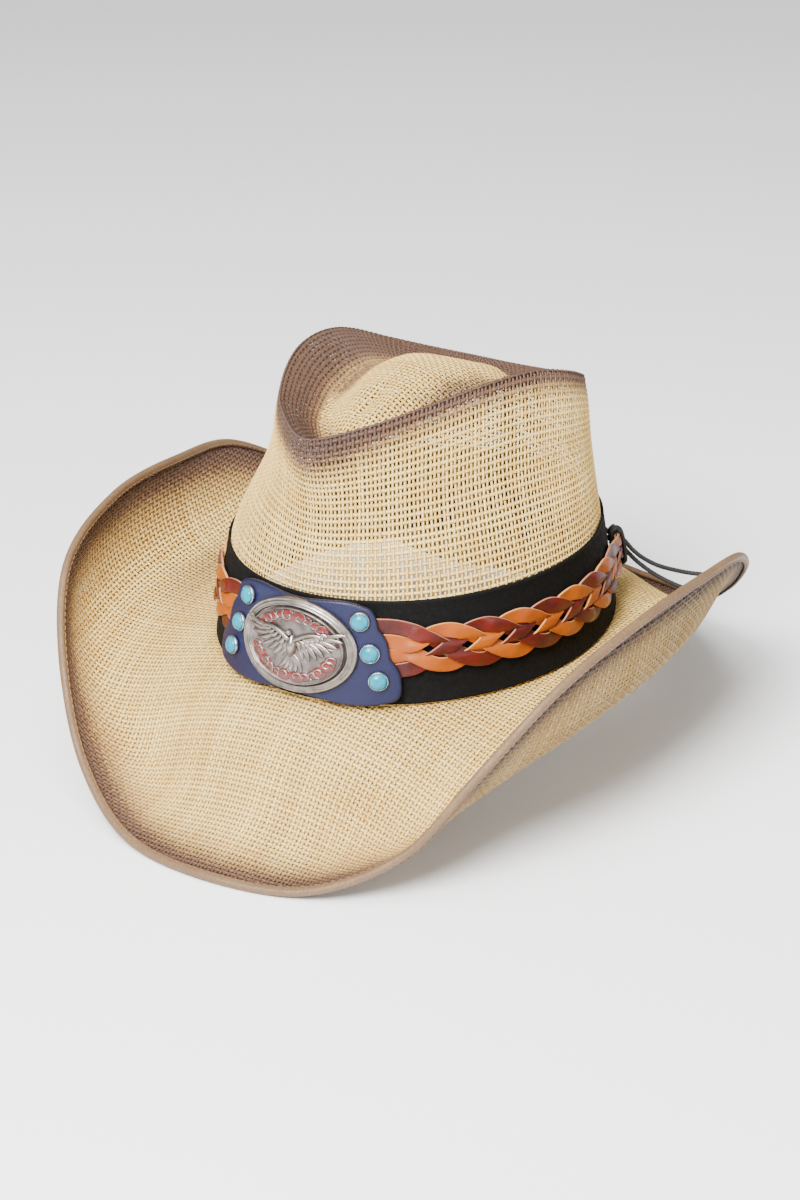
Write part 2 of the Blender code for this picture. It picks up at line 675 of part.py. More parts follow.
def add_end_knot(name, route, material, parent, rings=4, sides=8):
    """A ball knot at the far end of a loose strand."""
    tip = np.array(route[-1], float)
    heading = unit(tip - np.array(route[-2], float))
    middle = tip + heading * (END_KNOT_RADIUS + GAP)
    side_a = unit(np.cross(heading, (0, 0, 1.0)))
    side_b = np.cross(side_a, heading)
    places = [middle - heading * END_KNOT_RADIUS]
    for ring in range(1, rings):
        lean = math.pi * ring / rings
        for k in range(sides):
            turn = 2 * math.pi * k / sides
            spread = math.cos(turn) * side_a + math.sin(turn) * side_b
            places.append(middle + END_KNOT_RADIUS * (-math.cos(lean) * heading + math.sin(lean) * spread))
    places.append(middle + heading * END_KNOT_RADIUS)
    return add_piece(name, places, ball_faces(rings, sides), material, parent, 80.0)


def add_wrap(name, side, material, parent):
    """The cord bound round the strap ends: a ribbed sleeve, one rib to a turn."""
    inner = (BRAID_HALF * NARROW + STRAP_WIDTH * NARROW / 2 + WRAP_ROOM, WEAVE + STRAP / 2 + WRAP_ROOM)
    start = STRAP_END - WRAP_LENGTH
    sides = 12
    profile = []
    for rib in range(WRAP_TURNS):
        at = start + WRAP_LENGTH * rib / WRAP_TURNS
        pitch = WRAP_LENGTH / WRAP_TURNS
        profile += [(at + 0.05 * pitch, WRAP_GROOVE), (at + 0.5 * pitch, WRAP_RIB)]
    profile.append((STRAP_END - 0.1, WRAP_GROOVE))
    profile += [(STRAP_END - 0.1, 0.0), (start + 0.1, 0.0)]
    rows = []
    for along, thick in profile:
        ring = []
        for k in range(sides):
            turn = 2 * math.pi * (k + 0.5) / sides
            c, s = math.cos(turn), math.sin(turn)
            square = max(abs(c), abs(s)) ** -WRAP_SQUARENESS
            up = (inner[0] * square + thick) * c
            out = WRAP_OUT + (inner[1] * square + thick) * s
            ring.append(band_point(side * along, up, out))
        rows.append(ring)
    return add_ring(name, rows, material, parent)


def add_tie(cord, parent):
    """Wraps on both braid ends, the cord laced across the back, its knot and two loose strands."""
    add_wrap("tie_wrap_left", 1, cord, parent)
    add_wrap("tie_wrap_right", -1, cord, parent)
    knot_at = STRAP_END + GAP + KNOT[0]
    add_knot("tie_knot", (knot_at, 0, WRAP_OUT), KNOT, cord, parent)
    half_way = BAND_LENGTHS[-1]
    near = knot_at + KNOT[0] + GAP
    for name, up in (("tie_lace_upper", 1.6), ("tie_lace_lower", -1.6)):
        resting = GAP + CORD_RADIUS
        route = [band_point(near, up, WRAP_OUT - 1.2), band_point(near + 7, up * 1.4, resting + 1.2)]
        spread = up * 2.2
        for share in (0.25, 0.5, 0.75, 1.0):
            route.append(band_point(near + 7 + (half_way - near - 7) * share, spread, resting))
        far = STRAP_END + GAP
        for share in (0.25, 0.5, 0.75):
            route.append(band_point(-(half_way + (far + 9 - half_way) * share), spread, resting))
        route += [band_point(-(far + 8), up * 1.4, resting + 1.2), band_point(-far, up, WRAP_OUT - 1.2)]
        add_tube(name, route, 30, cord, parent)
    add_tube("tie_strand_upper", STRAND_UPPER, 28, cord, parent)
    add_tube("tie_strand_lower", STRAND_LOWER, 26, cord, parent)
    add_end_knot("tie_end_knot_upper", STRAND_UPPER, cord, parent)
    add_end_knot("tie_end_knot_lower", STRAND_LOWER, cord, parent)


def build():
    clear_scene()
    straw = principled("straw", (0.80, 0.68, 0.45), 0.75)
    hem_straw = principled("hem_straw", (0.66, 0.52, 0.36), 0.7)
    steel = principled("steel", (0.55, 0.56, 0.58), 0.35, 1.0)
    ribbon_cloth = principled("ribbon_cloth", (0.012, 0.012, 0.014), 0.85)
    sweat_cloth = principled("sweat_cloth", (0.03, 0.028, 0.026), 0.9)
    navy = principled("navy_leather", (0.028, 0.034, 0.13), 0.5)
    tan = principled("tan_leather", (0.55, 0.18, 0.022), 0.42)
    oxblood = principled("oxblood_leather", (0.16, 0.022, 0.014), 0.42)
    pewter = principled("pewter", (0.36, 0.35, 0.34), 0.32, 1.0)
    dark_pewter = principled("dark_pewter", (0.24, 0.21, 0.20), 0.38, 1.0)
    silver = principled("silver", (0.62, 0.62, 0.62), 0.3, 1.0)
    turquoise = principled("turquoise", (0.04, 0.45, 0.58), 0.25)
    cord = principled("black_cord", (0.01, 0.01, 0.01), 0.6)

    hat = add_empty("hat")
    hatband = add_empty("hatband")
    add_crown(straw, hat)
    add_brim(straw, hem_straw, steel, hat)
    add_ribbon_and_sweatband(ribbon_cloth, sweat_cloth, hat)
    add_plaque(navy, hatband)
    add_braids(tan, oxblood, hatband)
    add_buckle(pewter, dark_pewter, steel, hatband)
    add_studs(silver, turquoise, hatband)
    add_tie(cord, hatband)


build()
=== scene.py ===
"""Looks of the straw western hat: woven straw, black ribbon, leather hatband, buckle, studs and cord.

The sizes are the model's own, in millimetres, and MM turns them into metres. The origin is the centre of the
head opening, +Z is up, -Y is the front of the hat and +X is the wearer's left.
"""
import math

import bpy
import numpy as np
from mathutils import Matrix, Vector
from mathutils.bvhtree import BVHTree


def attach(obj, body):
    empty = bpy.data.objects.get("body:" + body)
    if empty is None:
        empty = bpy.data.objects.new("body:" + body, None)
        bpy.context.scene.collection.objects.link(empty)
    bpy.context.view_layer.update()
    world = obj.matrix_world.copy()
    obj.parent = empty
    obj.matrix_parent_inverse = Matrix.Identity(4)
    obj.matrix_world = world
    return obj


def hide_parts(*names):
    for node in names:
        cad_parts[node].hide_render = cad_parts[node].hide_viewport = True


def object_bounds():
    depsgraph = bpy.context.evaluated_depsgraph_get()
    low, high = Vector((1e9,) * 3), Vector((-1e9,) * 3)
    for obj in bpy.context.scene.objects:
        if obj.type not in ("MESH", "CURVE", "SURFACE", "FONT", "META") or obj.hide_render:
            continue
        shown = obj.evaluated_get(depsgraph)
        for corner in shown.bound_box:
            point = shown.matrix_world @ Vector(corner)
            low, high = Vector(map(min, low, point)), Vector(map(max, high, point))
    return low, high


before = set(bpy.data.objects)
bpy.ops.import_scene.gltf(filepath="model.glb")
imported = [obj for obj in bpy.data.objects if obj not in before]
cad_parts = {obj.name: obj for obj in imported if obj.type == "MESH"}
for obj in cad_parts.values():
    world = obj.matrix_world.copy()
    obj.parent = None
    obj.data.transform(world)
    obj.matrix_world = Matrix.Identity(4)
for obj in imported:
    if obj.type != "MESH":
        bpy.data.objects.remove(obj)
cad_low, cad_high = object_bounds()

MM = 0.001
GAP = 0.3                       # clearance between pieces
SEED = 7
SIDES = ((1, "left"), (-1, "right"))
ROUND = np.linspace(0, 2 * math.pi, 4001)       # fine steps round the hat, to place stitches by

# Head oval, crown and brim: the frame's own shape.
BASE_HALF_LENGTH = 102.0
BASE_HALF_WIDTH = 87.0
TAPER_LENGTH = 0.160
TAPER_WIDTH = 0.147
STRAW = 1.2
RIDGE = ((0, -91, 116), (21, -77, 120.5), (37, -52, 125), (48.5, -23, 128), (55.5, 12, 125),
         (58, 37, 117.5), (53, 59, 108), (40, 76, 100.5), (21, 85.5, 96.5), (0, 88.5, 95))
RIBBON_TOP = 46.6
WALL_BULGE = (-1.8, -3.0)
SHOULDER = 5.0
SPINE_FRONT = -42.0
SPINE_BACK = 50.0
SPINE_HEIGHTS = ((-42, 114), (-25, 121.5), (-5, 125), (15, 121.5), (35, 113.5), (50, 106.5))
CREASE_DEPTHS = ((0, 11), (60, 15), (110, 9), (150, 4), (180, 1.5))
CREASE_AT = 0.44
FLANK_AT = 0.76
FLANK_RISE = 0.78
RIDGE_STOP, CREASE_STOP, CREST_STOP = 5, 7, 9    # where these lie along a section of the crown
EDGE = ((0, -177, -54), (50, -168, -51), (83, -150.5, -33), (106, -130.5, 1), (126, -98, 33.5),
        (137, -46, 47.5), (139.5, 8, 47.5), (138.5, 47, 43), (129, 79, 26), (105, 115.5, -4.5),
        (72, 149, -30), (37, 166.5, -35.5), (0, 170.5, -33.5))
BREAK_SLOPE = (-9, -10, -10)
EDGE_SLOPE = (48, 0, -39, -21)
BREAK_HANDLE = 0.60
EDGE_HANDLE = 0.58
LIP = 3.2
PLY = 0.7
HEM = 0.6
HEM_REACH = 4.0
HEM_OUTER = 1.75
HEM_INNER = HEM_OUTER - HEM
WIRE_RADIUS = 0.75
PLY_END = HEM_OUTER + WIRE_RADIUS + 0.35        # how far the plies stop short of the edge
PLY_DOWN = {"top": PLY / 2, "under": PLY + GAP + PLY / 2}   # each ply's middle, under the brim's upper face
RIBBON = 0.9
RIBBON_BOTTOM = 0.9
RIBS = 560
RIB_DEPTH = 0.14
SWEATBAND = 0.9
SWEATBAND_TOP = 30.0

# Hatband: places are (along, up, out) from the band's middle line at the front, on the ribbon's face.
BAND_FRONT = 27.0
BAND_BACK = 21.5
PLAQUE_BACK = 2.2
PLAQUE_FRONT = 4.2
PLAQUE_TOP = ((0, 19), (30.5, 19), (33.5, 17.8), (35.8, 14.5), (36.6, 10), (39, 7), (41, 3), (41.8, -3),
              (44.2, -6.5), (46.4, -11), (46.8, -16))
PLAQUE_BOTTOM = ((0, -23), (41.5, -23), (44.5, -22), (46.2, -20), (46.8, -17))
# The plaque's edge, from back to front: inset, out and how much raw edge shows.
PLAQUE_PROFILE = ((0.5, PLAQUE_BACK, 0.0), (0.0, PLAQUE_BACK + 0.3, 0.3), (0.0, PLAQUE_FRONT - 0.75, 0.6),
                  (0.15, PLAQUE_FRONT - 0.35, 1.0), (0.5, PLAQUE_FRONT - 0.08, 0.5), (1.1, PLAQUE_FRONT, 0.0))
STRAP_WIDTH = 6.3
STRAP = 1.15
# A strap's section: across, out (as shares of half its width and thickness) and how much raw edge shows.
STRAP_SECTION = ((-0.93, -1.0, 0.6), (-0.99, -0.8, 1.0), (-1.0, 0.0, 1.0), (-0.985, 0.6, 1.0),
                 (-0.95, 0.88, 0.1), (-0.88, 1.0, 0.0), (-0.45, 1.1, 0.0), (0.0, 1.14, 0.0), (0.45, 1.1, 0.0),
                 (0.88, 1.0, 0.0), (0.95, 0.88, 0.1), (0.985, 0.6, 1.0), (1.0, 0.0, 1.0), (0.99, -0.8, 1.0),
                 (0.93, -1.0, 0.6), (0.0, -1.0, 0.6))
BRAID_HALF = 7.6
BRAID_PERIOD = 69.2
BRAID_PHASE = 66.0
FAN_PITCH = 6.7
FAN_ORDER = (0.5, 1.5, -0.5, -1.5)
STRAP_START = 31.0
WEAVE = 0.85                    # how far a strap rises over a crossing
WEAVE_START = 40.0             # where the straps begin to gather into the braid
WEAVE_FULL = 58.0
FIRST_CROSSING = 49.0           # the straps lie flat before this
BRAID_END_ANGLE = 134.0
NARROW_LENGTH = 30.0
NARROW = 0.66
LIFT_START = 26.0
WRAP_OUT = 4.9                  # the bound strap ends' middle, out from the ribbon
BUCKLE_HALVES = (27.8, 20.6)
BUCKLE_ALONG = 1.2
BUCKLE_CENTRE = (BUCKLE_ALONG, -1.4)
BUCKLE_BASE = PLAQUE_FRONT + GAP
BUCKLE_SIDES = 144
# Profiles of turned bodies: share of the half size, and out from the body's back.
BUCKLE_RIM = ((0.02, 0.0), (0.5, 0.0), (1.0, 0.0), (1.0, 1.1), (0.99, 1.75), (0.972, 2.05), (0.957, 1.8),
              (0.945, 1.75), (0.93, 2.3), (0.915, 2.5), (0.9, 2.3), (0.888, 1.95), (0.876, 2.3),
              (0.862, 2.45), (0.846, 2.2), (0.836, 1.4), (0.82, 1.3), (0.5, 1.3), (0.02, 1.3))
BUCKLE_DISH = ((0.02, 0.0), (0.5, 0.0), (0.79, 0.0), (0.805, 0.25), (0.81, 1.1), (0.803, 1.6), (0.79, 1.75),
               (0.778, 1.55), (0.77, 1.15), (0.6, 1.1), (0.3, 1.3), (0.02, 1.35))
BEZEL = ((0.02, 0.0), (0.92, 0.0), (1.0, 0.15), (1.02, 0.7), (0.99, 1.2), (0.94, 1.45), (0.885, 1.3),
         (0.86, 0.9), (0.85, 0.65), (0.02, 0.6))
STONE = ((0.02, 0.0), (0.6, 0.0), (0.82, 0.05), (0.845, 0.5), (0.82, 1.0), (0.72, 1.55), (0.52, 2.05),
         (0.27, 2.35), (0.02, 2.42))
SEAT = BUCKLE_BASE + 1.3 + GAP  # the dish's back
BIRD_SIZE = 1.16
FEATHER_SECTION = ((-1, 0.0), (-0.9, 0.3), (-0.45, 0.42), (0, 0.75), (0.45, 0.42), (0.9, 0.3), (1, 0.0),
                   (0, -0.2))
STUDS = ((28.2, 13.2), (32.6, -0.6), (36.2, -12.6))
STUD_RADIUS = 4.1

# Tie cord: the strands' routes are the model's own.
CORD_RADIUS = 1.1
CORD_TWIST = 5.5                # length in which a ply winds once round
CORD_PLIES = 3
CORD_SIDES = 12
WRAP_LENGTH = 8.0
WRAP_TURNS = 4
KNOT = (3.4, 4.2, 3.0)
STRAND_UPPER = ((64.5, 80.2, 21.0), (71, 78.5, 17.2), (84, 73.5, 15.4), (97, 69.8, 16.4), (108, 68, 17.8),
                (115.5, 69, 18.4), (118, 73.5, 17.0), (116.2, 80.5, 13.3), (110.5, 88, 7.6))
STRAND_LOWER = ((66.0, 76.6, 19.0), (71.5, 79, 12.6), (79, 80.5, 7.6), (88, 82, 3.8), (96, 84, 1.4),
                (101.5, 87.5, -0.1), (103, 93.5, -0.8), (99.5, 99.5, -3.8))
END_KNOT_RADIUS = 2.0

# Weave of the straw.
UPRIGHTS = 262                  # upright strands round the crown
WALL_ROWS = 42                  # round strands from the brim to the ridge
INNER_ROWS = 11                 # and from the ridge down to the crease
CROWN_UPRIGHT_WIDTH = 1.36
CROWN_ROUND_WIDTH = 1.72
CROWN_WIDEST_SHARE = 0.66       # a strand's most, as a share of the space it has
TIGHTER = 0.24                  # how much more of that space it takes along the ridge and in the crease
CROWN_STRAND = 0.46             # thickness of a strand
CROWN_WAVE = 0.24               # how far it rises over a crossing
DOME_PITCH = (1.9, 2.3)         # spacing across and along the dome
DOME_REACH = (44, 84)
DOME_WIDTHS = (1.42, 1.75)
ABOVE_ALL = 200                 # a height over the whole hat
BRIM_PITCH = (2.0, 2.35)
BRIM_REACH = (182, 206)
BRIM_WIDTHS = (1.66, 1.98)
BRIM_STRAND = 0.34
BRIM_WAVE = 0.15
# The lower ply lies a little askew under the upper one.
PLY_TURN = {"top": 0.0, "under": math.radians(1.3)}
PLY_SHIFT = {"top": (0.0, 0.0), "under": (0.8, 0.5)}
LARGEST_PIECE = 90000           # points after which a new piece starts
WEAVE_SHADE = (0.55, 0.0, 0.55, 1.0)  # painted shade on a strand's edge, face, edge and reverse, by how deep in the weave they lie
MAP_ROW = 0.2                   # height of each side of a strand on the baking map, in rows
MAP_MARGIN = 0.002

# Airbrushed brown: how far it reaches.
RIDGE_BURN_REACH = 19.0         # down from the crown's ridge
PINCH_BURN_REACH = 14.0         # and further down over the pinch at the front
PINCH_SPREAD = 0.42             # in radians
BRIM_BURN_REACH = {"top": (36.0, 18.0), "under": (24.0, 4.0)}   # in from the edge, and more at the sides

# Camera: where it stands, and how it frames the hat.
CAMERA_AZIMUTH = 31.6
CAMERA_ELEVATION = 24.5
CAMERA_ROLL = -0.36
CAMERA_DISTANCE = 1.339
CAMERA_LENS = 86.7
CAMERA_SHIFT = (-0.0152, 0.0096)

# Studio: lights as azimuth, elevation, distance, size and power.
LIGHTS = {"key": (8, 44, 1.7, 0.8, 88.0), "overhead": (10, 75, 1.9, 1.3, 34.0),
          "side": (85, 12, 2.2, 1.2, 26.0)}
FLOOR_BELOW = 0.6
FLOOR_HALF = 6000.0


# ---------------------------------------------------------------- curves and surfaces

def unit(vectors):
    return vectors / np.maximum(np.linalg.norm(vectors, axis=-1, keepdims=True), 1e-9)


def smooth_curve(points, stops, closed=False):
    """A smooth curve through the points, read at stops counted in points."""
    points = np.asarray(points, float)
    stops = np.asarray(stops, float)
    count = len(points)
    if closed:
        points = np.concatenate([points[-2:], points, points[:3]])
        first = np.floor(stops).astype(int)
    else:
        points = np.concatenate([[2 * points[0] - points[1]], points, [2 * points[-1] - points[-2]]])
        first = np.minimum(stops.astype(int), count - 2)
    steps = np.maximum(np.linalg.norm(np.diff(points, axis=0), axis=1), 1e-6)
    slopes = np.diff(points, axis=0) / steps[:, None]
    spans = (steps[:-1] + steps[1:])[:, None]
    tangents = (slopes[:-1] * steps[1:, None] + slopes[1:] * steps[:-1, None]) / spans
    share = (stops - first)[:, None]
    a = (first % count if closed else first) + (2 if closed else 1)
    length = steps[a][:, None]
    h = share * share * (3 - 2 * share)
    place = points[a] * (1 - h) + points[a + 1] * h
    bend_a = share * (1 - share) ** 2 * length
    bend_b = -share * share * (1 - share) * length
    return place + tangents[a - 1] * bend_a + tangents[a] * bend_b


def lengths_along(line):
    return np.concatenate([[0], np.cumsum(np.linalg.norm(np.diff(line, axis=0), axis=1))])


def read_line(line, lengths, stops):
    return np.stack([np.interp(stops, lengths, line[:, axis]) for axis in range(3)], axis=-1)


def mirrored_ring(half):
    """The full closed ring of points from its half on the wearer's left side."""
    other = [(-x, y, z) for x, y, z in half[1:-1][::-1]]
    return list(half) + other


def ring_curve(half, columns):
    ring = mirrored_ring(half)
    return smooth_curve(ring, np.arange(columns) * len(ring) / columns, closed=True)


def smoothstep(value, start, end):
    share = np.clip((value - start) / (end - start), 0.0, 1.0)
    return share * share * (3 - 2 * share)


def oval(angle, height, outset=0.0):
    """Points on the crown wall below the ribbon's top, moved out by outset."""
    angle, height, outset = np.broadcast_arrays(angle, height, outset)
    across = BASE_HALF_WIDTH - TAPER_WIDTH * height + outset
    lengthwise = BASE_HALF_LENGTH - TAPER_LENGTH * height + outset
    return np.stack([across * np.sin(angle), -lengthwise * np.cos(angle), height], axis=-1)


def outward(angle):
    return unit(np.stack([np.sin(angle) / BASE_HALF_WIDTH, -np.cos(angle) / BASE_HALF_LENGTH,
                          np.zeros_like(angle)], axis=-1))


def cosine_sum(terms, angle):
    return sum(term * np.cos(order * angle) for order, term in enumerate(terms))


def crown_line(angle, ridge):
    """The crown's section from the brim up over the ridge, down the crease and up to the dome."""
    top_of_ribbon = oval(angle, RIBBON_TOP)
    away = outward(np.float64(angle))
    middle = (top_of_ribbon + ridge) / 2 + away * (WALL_BULGE[0] + WALL_BULGE[1] * math.cos(angle))
    reach = (ridge[1] - RIDGE[0][1]) / (RIDGE[-1][1] - RIDGE[0][1])
    crest_y = SPINE_FRONT + (SPINE_BACK - SPINE_FRONT) * reach
    heights = np.array(SPINE_HEIGHTS, float)
    crest = np.array((0.0, crest_y, np.interp(crest_y, heights[:, 0], heights[:, 1])))
    fold = abs(math.degrees(math.atan2(math.sin(angle), math.cos(angle))))
    depths = np.array(CREASE_DEPTHS, float)
    depth = np.interp(fold, depths[:, 0], depths[:, 1])
    inward = crest - ridge
    crease = ridge + inward * CREASE_AT
    crease[2] = min(ridge[2] - depth, crest[2] - depth / 4)
    flank = ridge + inward * FLANK_AT
    flank[2] = crease[2] + FLANK_RISE * (crest[2] - crease[2])
    outer_shoulder = ridge + unit(middle - ridge) * SHOULDER + away * 0.6
    inner_shoulder = ridge + unit(crease - ridge) * SHOULDER + np.array((0, 0, 0.5))
    lower = [oval(angle, height) for height in (GAP, RIBBON_TOP / 2, RIBBON_TOP)]
    beyond = flank * np.array((-1, 1, 1))
    return lower + [middle, outer_shoulder, ridge, inner_shoulder, crease, flank, crest, beyond]


def crown_sections(columns, stops):
    """Dense sections of the crown's outer face, one for each column round it."""
    angles = np.arange(columns) * 2 * math.pi / columns
    ridge = ring_curve(RIDGE, columns)
    return [smooth_curve(crown_line(angle, top), stops) for angle, top in zip(angles, ridge)]


def sheet_normals(grid):
    """Normals of a grid that closes round its columns, on the side that shows."""
    along = np.gradient(grid, axis=0)
    around = np.roll(grid, -1, axis=1) - np.roll(grid, 1, axis=1)
    return unit(np.cross(around, along))


# ---------------------------------------------------------------- meshes

def add_mesh(name, points, quads, material, attributes=None, uv=None):
    """A smooth mesh of quads from points in millimetres, with its attributes and its corners' baking map."""
    points = np.asarray(points, np.float32).reshape(-1, 3) * MM
    quads = np.asarray(quads, np.int32).reshape(-1, 4)
    mesh = bpy.data.meshes.new(name)
    mesh.vertices.add(len(points))
    mesh.vertices.foreach_set("co", points.ravel())
    mesh.loops.add(quads.size)
    mesh.loops.foreach_set("vertex_index", quads.ravel())
    mesh.polygons.add(len(quads))
    mesh.polygons.foreach_set("loop_start", np.arange(0, quads.size, 4, dtype=np.int32))
    mesh.polygons.foreach_set("use_smooth", np.ones(len(quads), bool))
    mesh.update(calc_edges=True)
    for key, values in (attributes or {}).items():
        layer = mesh.attributes.new(key, "FLOAT", "POINT")
        layer.data.foreach_set("value", np.asarray(values, np.float32).ravel())
    if uv is not None:
        layer = mesh.uv_layers.new(name="OFBake")
        layer.data.foreach_set("uv", np.asarray(uv, np.float32).ravel())
    mesh.materials.append(material)
    piece = bpy.data.objects.new(name, mesh)
    bpy.context.scene.collection.objects.link(piece)
    return piece


def place(piece, body, slot, *nodes):
    """Rides a piece on its body and hides the CAD parts of the nodes it stands for; its slot is not used."""
    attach(piece, body)
    if nodes:
        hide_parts(*nodes)
    return piece


def grid_quads(rows, columns, close_rows=False, close_columns=False):
    """Quads between the points of a grid, closed round either way if asked."""
    r = np.arange(rows if close_rows else rows - 1)[:, None]
    c = np.arange(columns if close_columns else columns - 1)[None, :]
    r_after, c_after = (r + 1) % rows, (c + 1) % columns
    corners = (r * columns + c, r * columns + c_after, r_after * columns + c_after, r_after * columns + c)
    corners = [np.broadcast_to(corner, (len(r), c.shape[1])) for corner in corners]
    return np.stack(corners, axis=-1).reshape(-1, 4)


def signed_volume(points, quads):
    """Six times the volume inside a closed mesh, below 0 if its faces look inwards."""
    a, b, c, d = (points[quads[:, corner]] for corner in range(4))
    return float((np.cross(b, c) * a).sum() + (np.cross(c, d) * a).sum())


# ---------------------------------------------------------------- woven strands

class Strands:
    """Gathers flat woven strands, each a closed tube with four sides, into one piece."""

    def __init__(self):
        self.points, self.quads, self.values, self.maps, self.count = [], [], {}, [], 0

    def add(self, centre, side, normal, width, thick, values, row, span=(0.0, 1.0), closed=False):
        """One strand along its centre line. row and span say where it lies on the baking map."""
        samples = len(centre)
        half = side * (width / 2)[:, None]
        rise = normal * (thick / 2)
        ring = np.stack([centre - half, centre + rise, centre + half, centre - rise], axis=1)
        base = self.count
        step = np.arange(samples if closed else samples - 1)
        after = (step + 1) % samples
        run = np.linspace(*span, samples + 1 if closed else samples)
        for corner in range(4):
            turn = (corner + 1) % 4
            self.quads.append(base + np.stack([step * 4 + corner, after * 4 + corner,
                                               after * 4 + turn, step * 4 + turn], axis=1))
            low, high = row + MAP_ROW * corner, row + MAP_ROW * (corner + 1)
            self.map((run[step], low), (run[step + 1], low), (run[step + 1], high), (run[step], high))
        if not closed:
            last = base + 4 * (samples - 1)
            self.quads.append(np.array([[base, base + 1, base + 2, base + 3],
                                        [last + 3, last + 2, last + 1, last]]))
            for end in (run[0], run[-1]):
                self.map(*[(end, row + MAP_ROW * corner) for corner in range(4)])
        self.points.append(ring.reshape(-1, 3))
        for key, value in values.items():
            self.values.setdefault(key, []).append(np.repeat(np.broadcast_to(value, samples), 4))
        # The depth attribute sets the painted shade on each side of the strand, most on its reverse.
        self.values.setdefault("depth", []).append(np.tile(WEAVE_SHADE, samples))
        self.count += 4 * samples

    def map(self, *corners):
        """Where the four corners of some quads lie on the baking map."""
        corners = [np.stack(np.broadcast_arrays(np.atleast_1d(u), v), axis=-1) for u, v in corners]
        self.maps.append(np.stack(corners, axis=1))

    def piece(self, name, material, node):
        """One piece of all the strands, which stands for a node of the hat."""
        values = {key: np.concatenate(value) for key, value in self.values.items()}
        maps = np.concatenate(self.maps)
        first, last = maps[..., 1].min(), maps[..., 1].max()
        maps[..., 1] = MAP_MARGIN + (maps[..., 1] - first) / (last - first) * (1 - 2 * MAP_MARGIN)
        points, quads = np.concatenate(self.points), np.concatenate(self.quads)
        if signed_volume(points, quads) < 0:
            quads, maps = quads[:, ::-1], maps[:, ::-1]
        return place(add_mesh(name, points, quads, material, values, maps), "hat", "straw", node)


def wander(rng, count, samples, amount, turns):
    """A slow random drift along each of a family of strands."""
    t = np.linspace(0, 2 * math.pi, samples)[None, :]
    drift = np.zeros((count, samples))
    for order in range(1, 4):
        phase = rng.uniform(0, 2 * math.pi, (count, 1))
        drift += rng.normal(0, 1, (count, 1)) * np.sin(t * order * turns + phase) / order
    return amount * (drift + rng.normal(0, 0.6, (count, 1)))


def half_steps(reach, pitch):
    """Places half a pitch apart, out to a reach on both sides of 0."""
    half = pitch / 2
    return np.arange(-int(reach / half), int(reach / half) + 1) * half


def families(xs, ys, pitch, wave, lengthwise, crosswise):
    """The two families of a flat net: name, lines, where the others cross, wave, and sheet by its lines."""
    return (("lengthwise", xs, ys / pitch[1], wave, lengthwise),
            ("crosswise", ys, xs / pitch[0], -wave, [values.swapaxes(0, 1) for values in crosswise]))


def every_other(lines):
    """The index of each strand among lines half a pitch apart, and its number from the middle."""
    middle = len(lines) // 2
    return [(index, (index - middle) // 2) for index in range(middle % 2, len(lines), 2)]


def runs_of(mask, least=4):
    """The stretches of a line where the mask holds, as slices."""
    edges = np.flatnonzero(np.diff(np.concatenate([[0], mask.astype(int), [0]])))
    return [slice(a, b) for a, b in zip(edges[0::2], edges[1::2]) if b - a >= least]


def add_runs(strands, places, up, inside, burn_and_shade, wave, crossings, width, thick, tone, row):
    """Adds one line of a flat net, wherever it lies inside."""
    for run in runs_of(inside):
        line, rise = places[run], up[run]
        lift = wave * np.cos(math.pi * crossings[run])
        side = unit(np.cross(rise, np.gradient(line, axis=0)))
        span = (run.start + 0.5) / len(inside), (run.stop - 0.5) / len(inside)
        strands.add(line + rise * lift[:, None], side, rise, np.full(len(line), width), thick,
                    {"burn_and_shade": burn_and_shade[run], "tone": tone}, row, span)


# ---------------------------------------------------------------- woven crown

def crown_burn(below_ridge, angle, inner_share):
    """Airbrushed brown: strongest along the ridge and in the crease, and lower down over the pinch."""
    front = np.exp(-(np.arctan2(np.sin(angle), np.cos(angle)) / PINCH_SPREAD) ** 2)
    wall = (1 - smoothstep(below_ridge, 0.0, RIDGE_BURN_REACH + PINCH_BURN_REACH * front)) ** 1.1
    crease = 1 - 0.45 * smoothstep(inner_share, 0.5, 1.1)
    return np.where(inner_share > 0, crease, wall) * (0.82 + 0.18 * front)


def crown_sheet():
    """The crown's woven sheet from the brim to the crease: two rows and two columns for each crossing."""
    stops = np.linspace(0, CREST_STOP, 20 * CREST_STOP + 1)
    sections = crown_sections(2 * UPRIGHTS, stops)
    runs = [lengths_along(line) for line in sections]
    to_ridge = np.array([np.interp(RIDGE_STOP, stops, run) for run in runs])
    to_crease = np.array([np.interp(CREASE_STOP, stops, run) for run in runs])
    usual = to_ridge.mean()
    t = np.linspace(0, 1, 2 * WALL_ROWS + 1)
    j = np.arange(1, 2 * INNER_ROWS + 1) / (2 * INNER_ROWS)
    columns, below, inner = [], [], []
    for line, run, ridge_at, crease_at in zip(sections, runs, to_ridge, to_crease):
        wall = t * usual + (ridge_at - usual) * t ** 2
        places = np.concatenate([wall, ridge_at + (crease_at - ridge_at) * j])
        columns.append(read_line(line, run, places))
        below.append(ridge_at - places)
        inner.append(np.concatenate([np.zeros(len(t)), j]))
    grid = np.array(columns).transpose(1, 0, 2)
    return grid, np.array(below).T, np.array(inner).T


def strand_width(centres, widest, tight, wraps):
    """Each strand's width: its usual width, or less where its neighbour is close."""
    pitch = np.linalg.norm(np.roll(centres, -1, axis=0) - centres, axis=-1)
    if not wraps:
        pitch[-1] = pitch[-2]
    return np.minimum(widest * (1 + TIGHTER * tight), (CROWN_WIDEST_SHARE + TIGHTER * tight) * pitch)


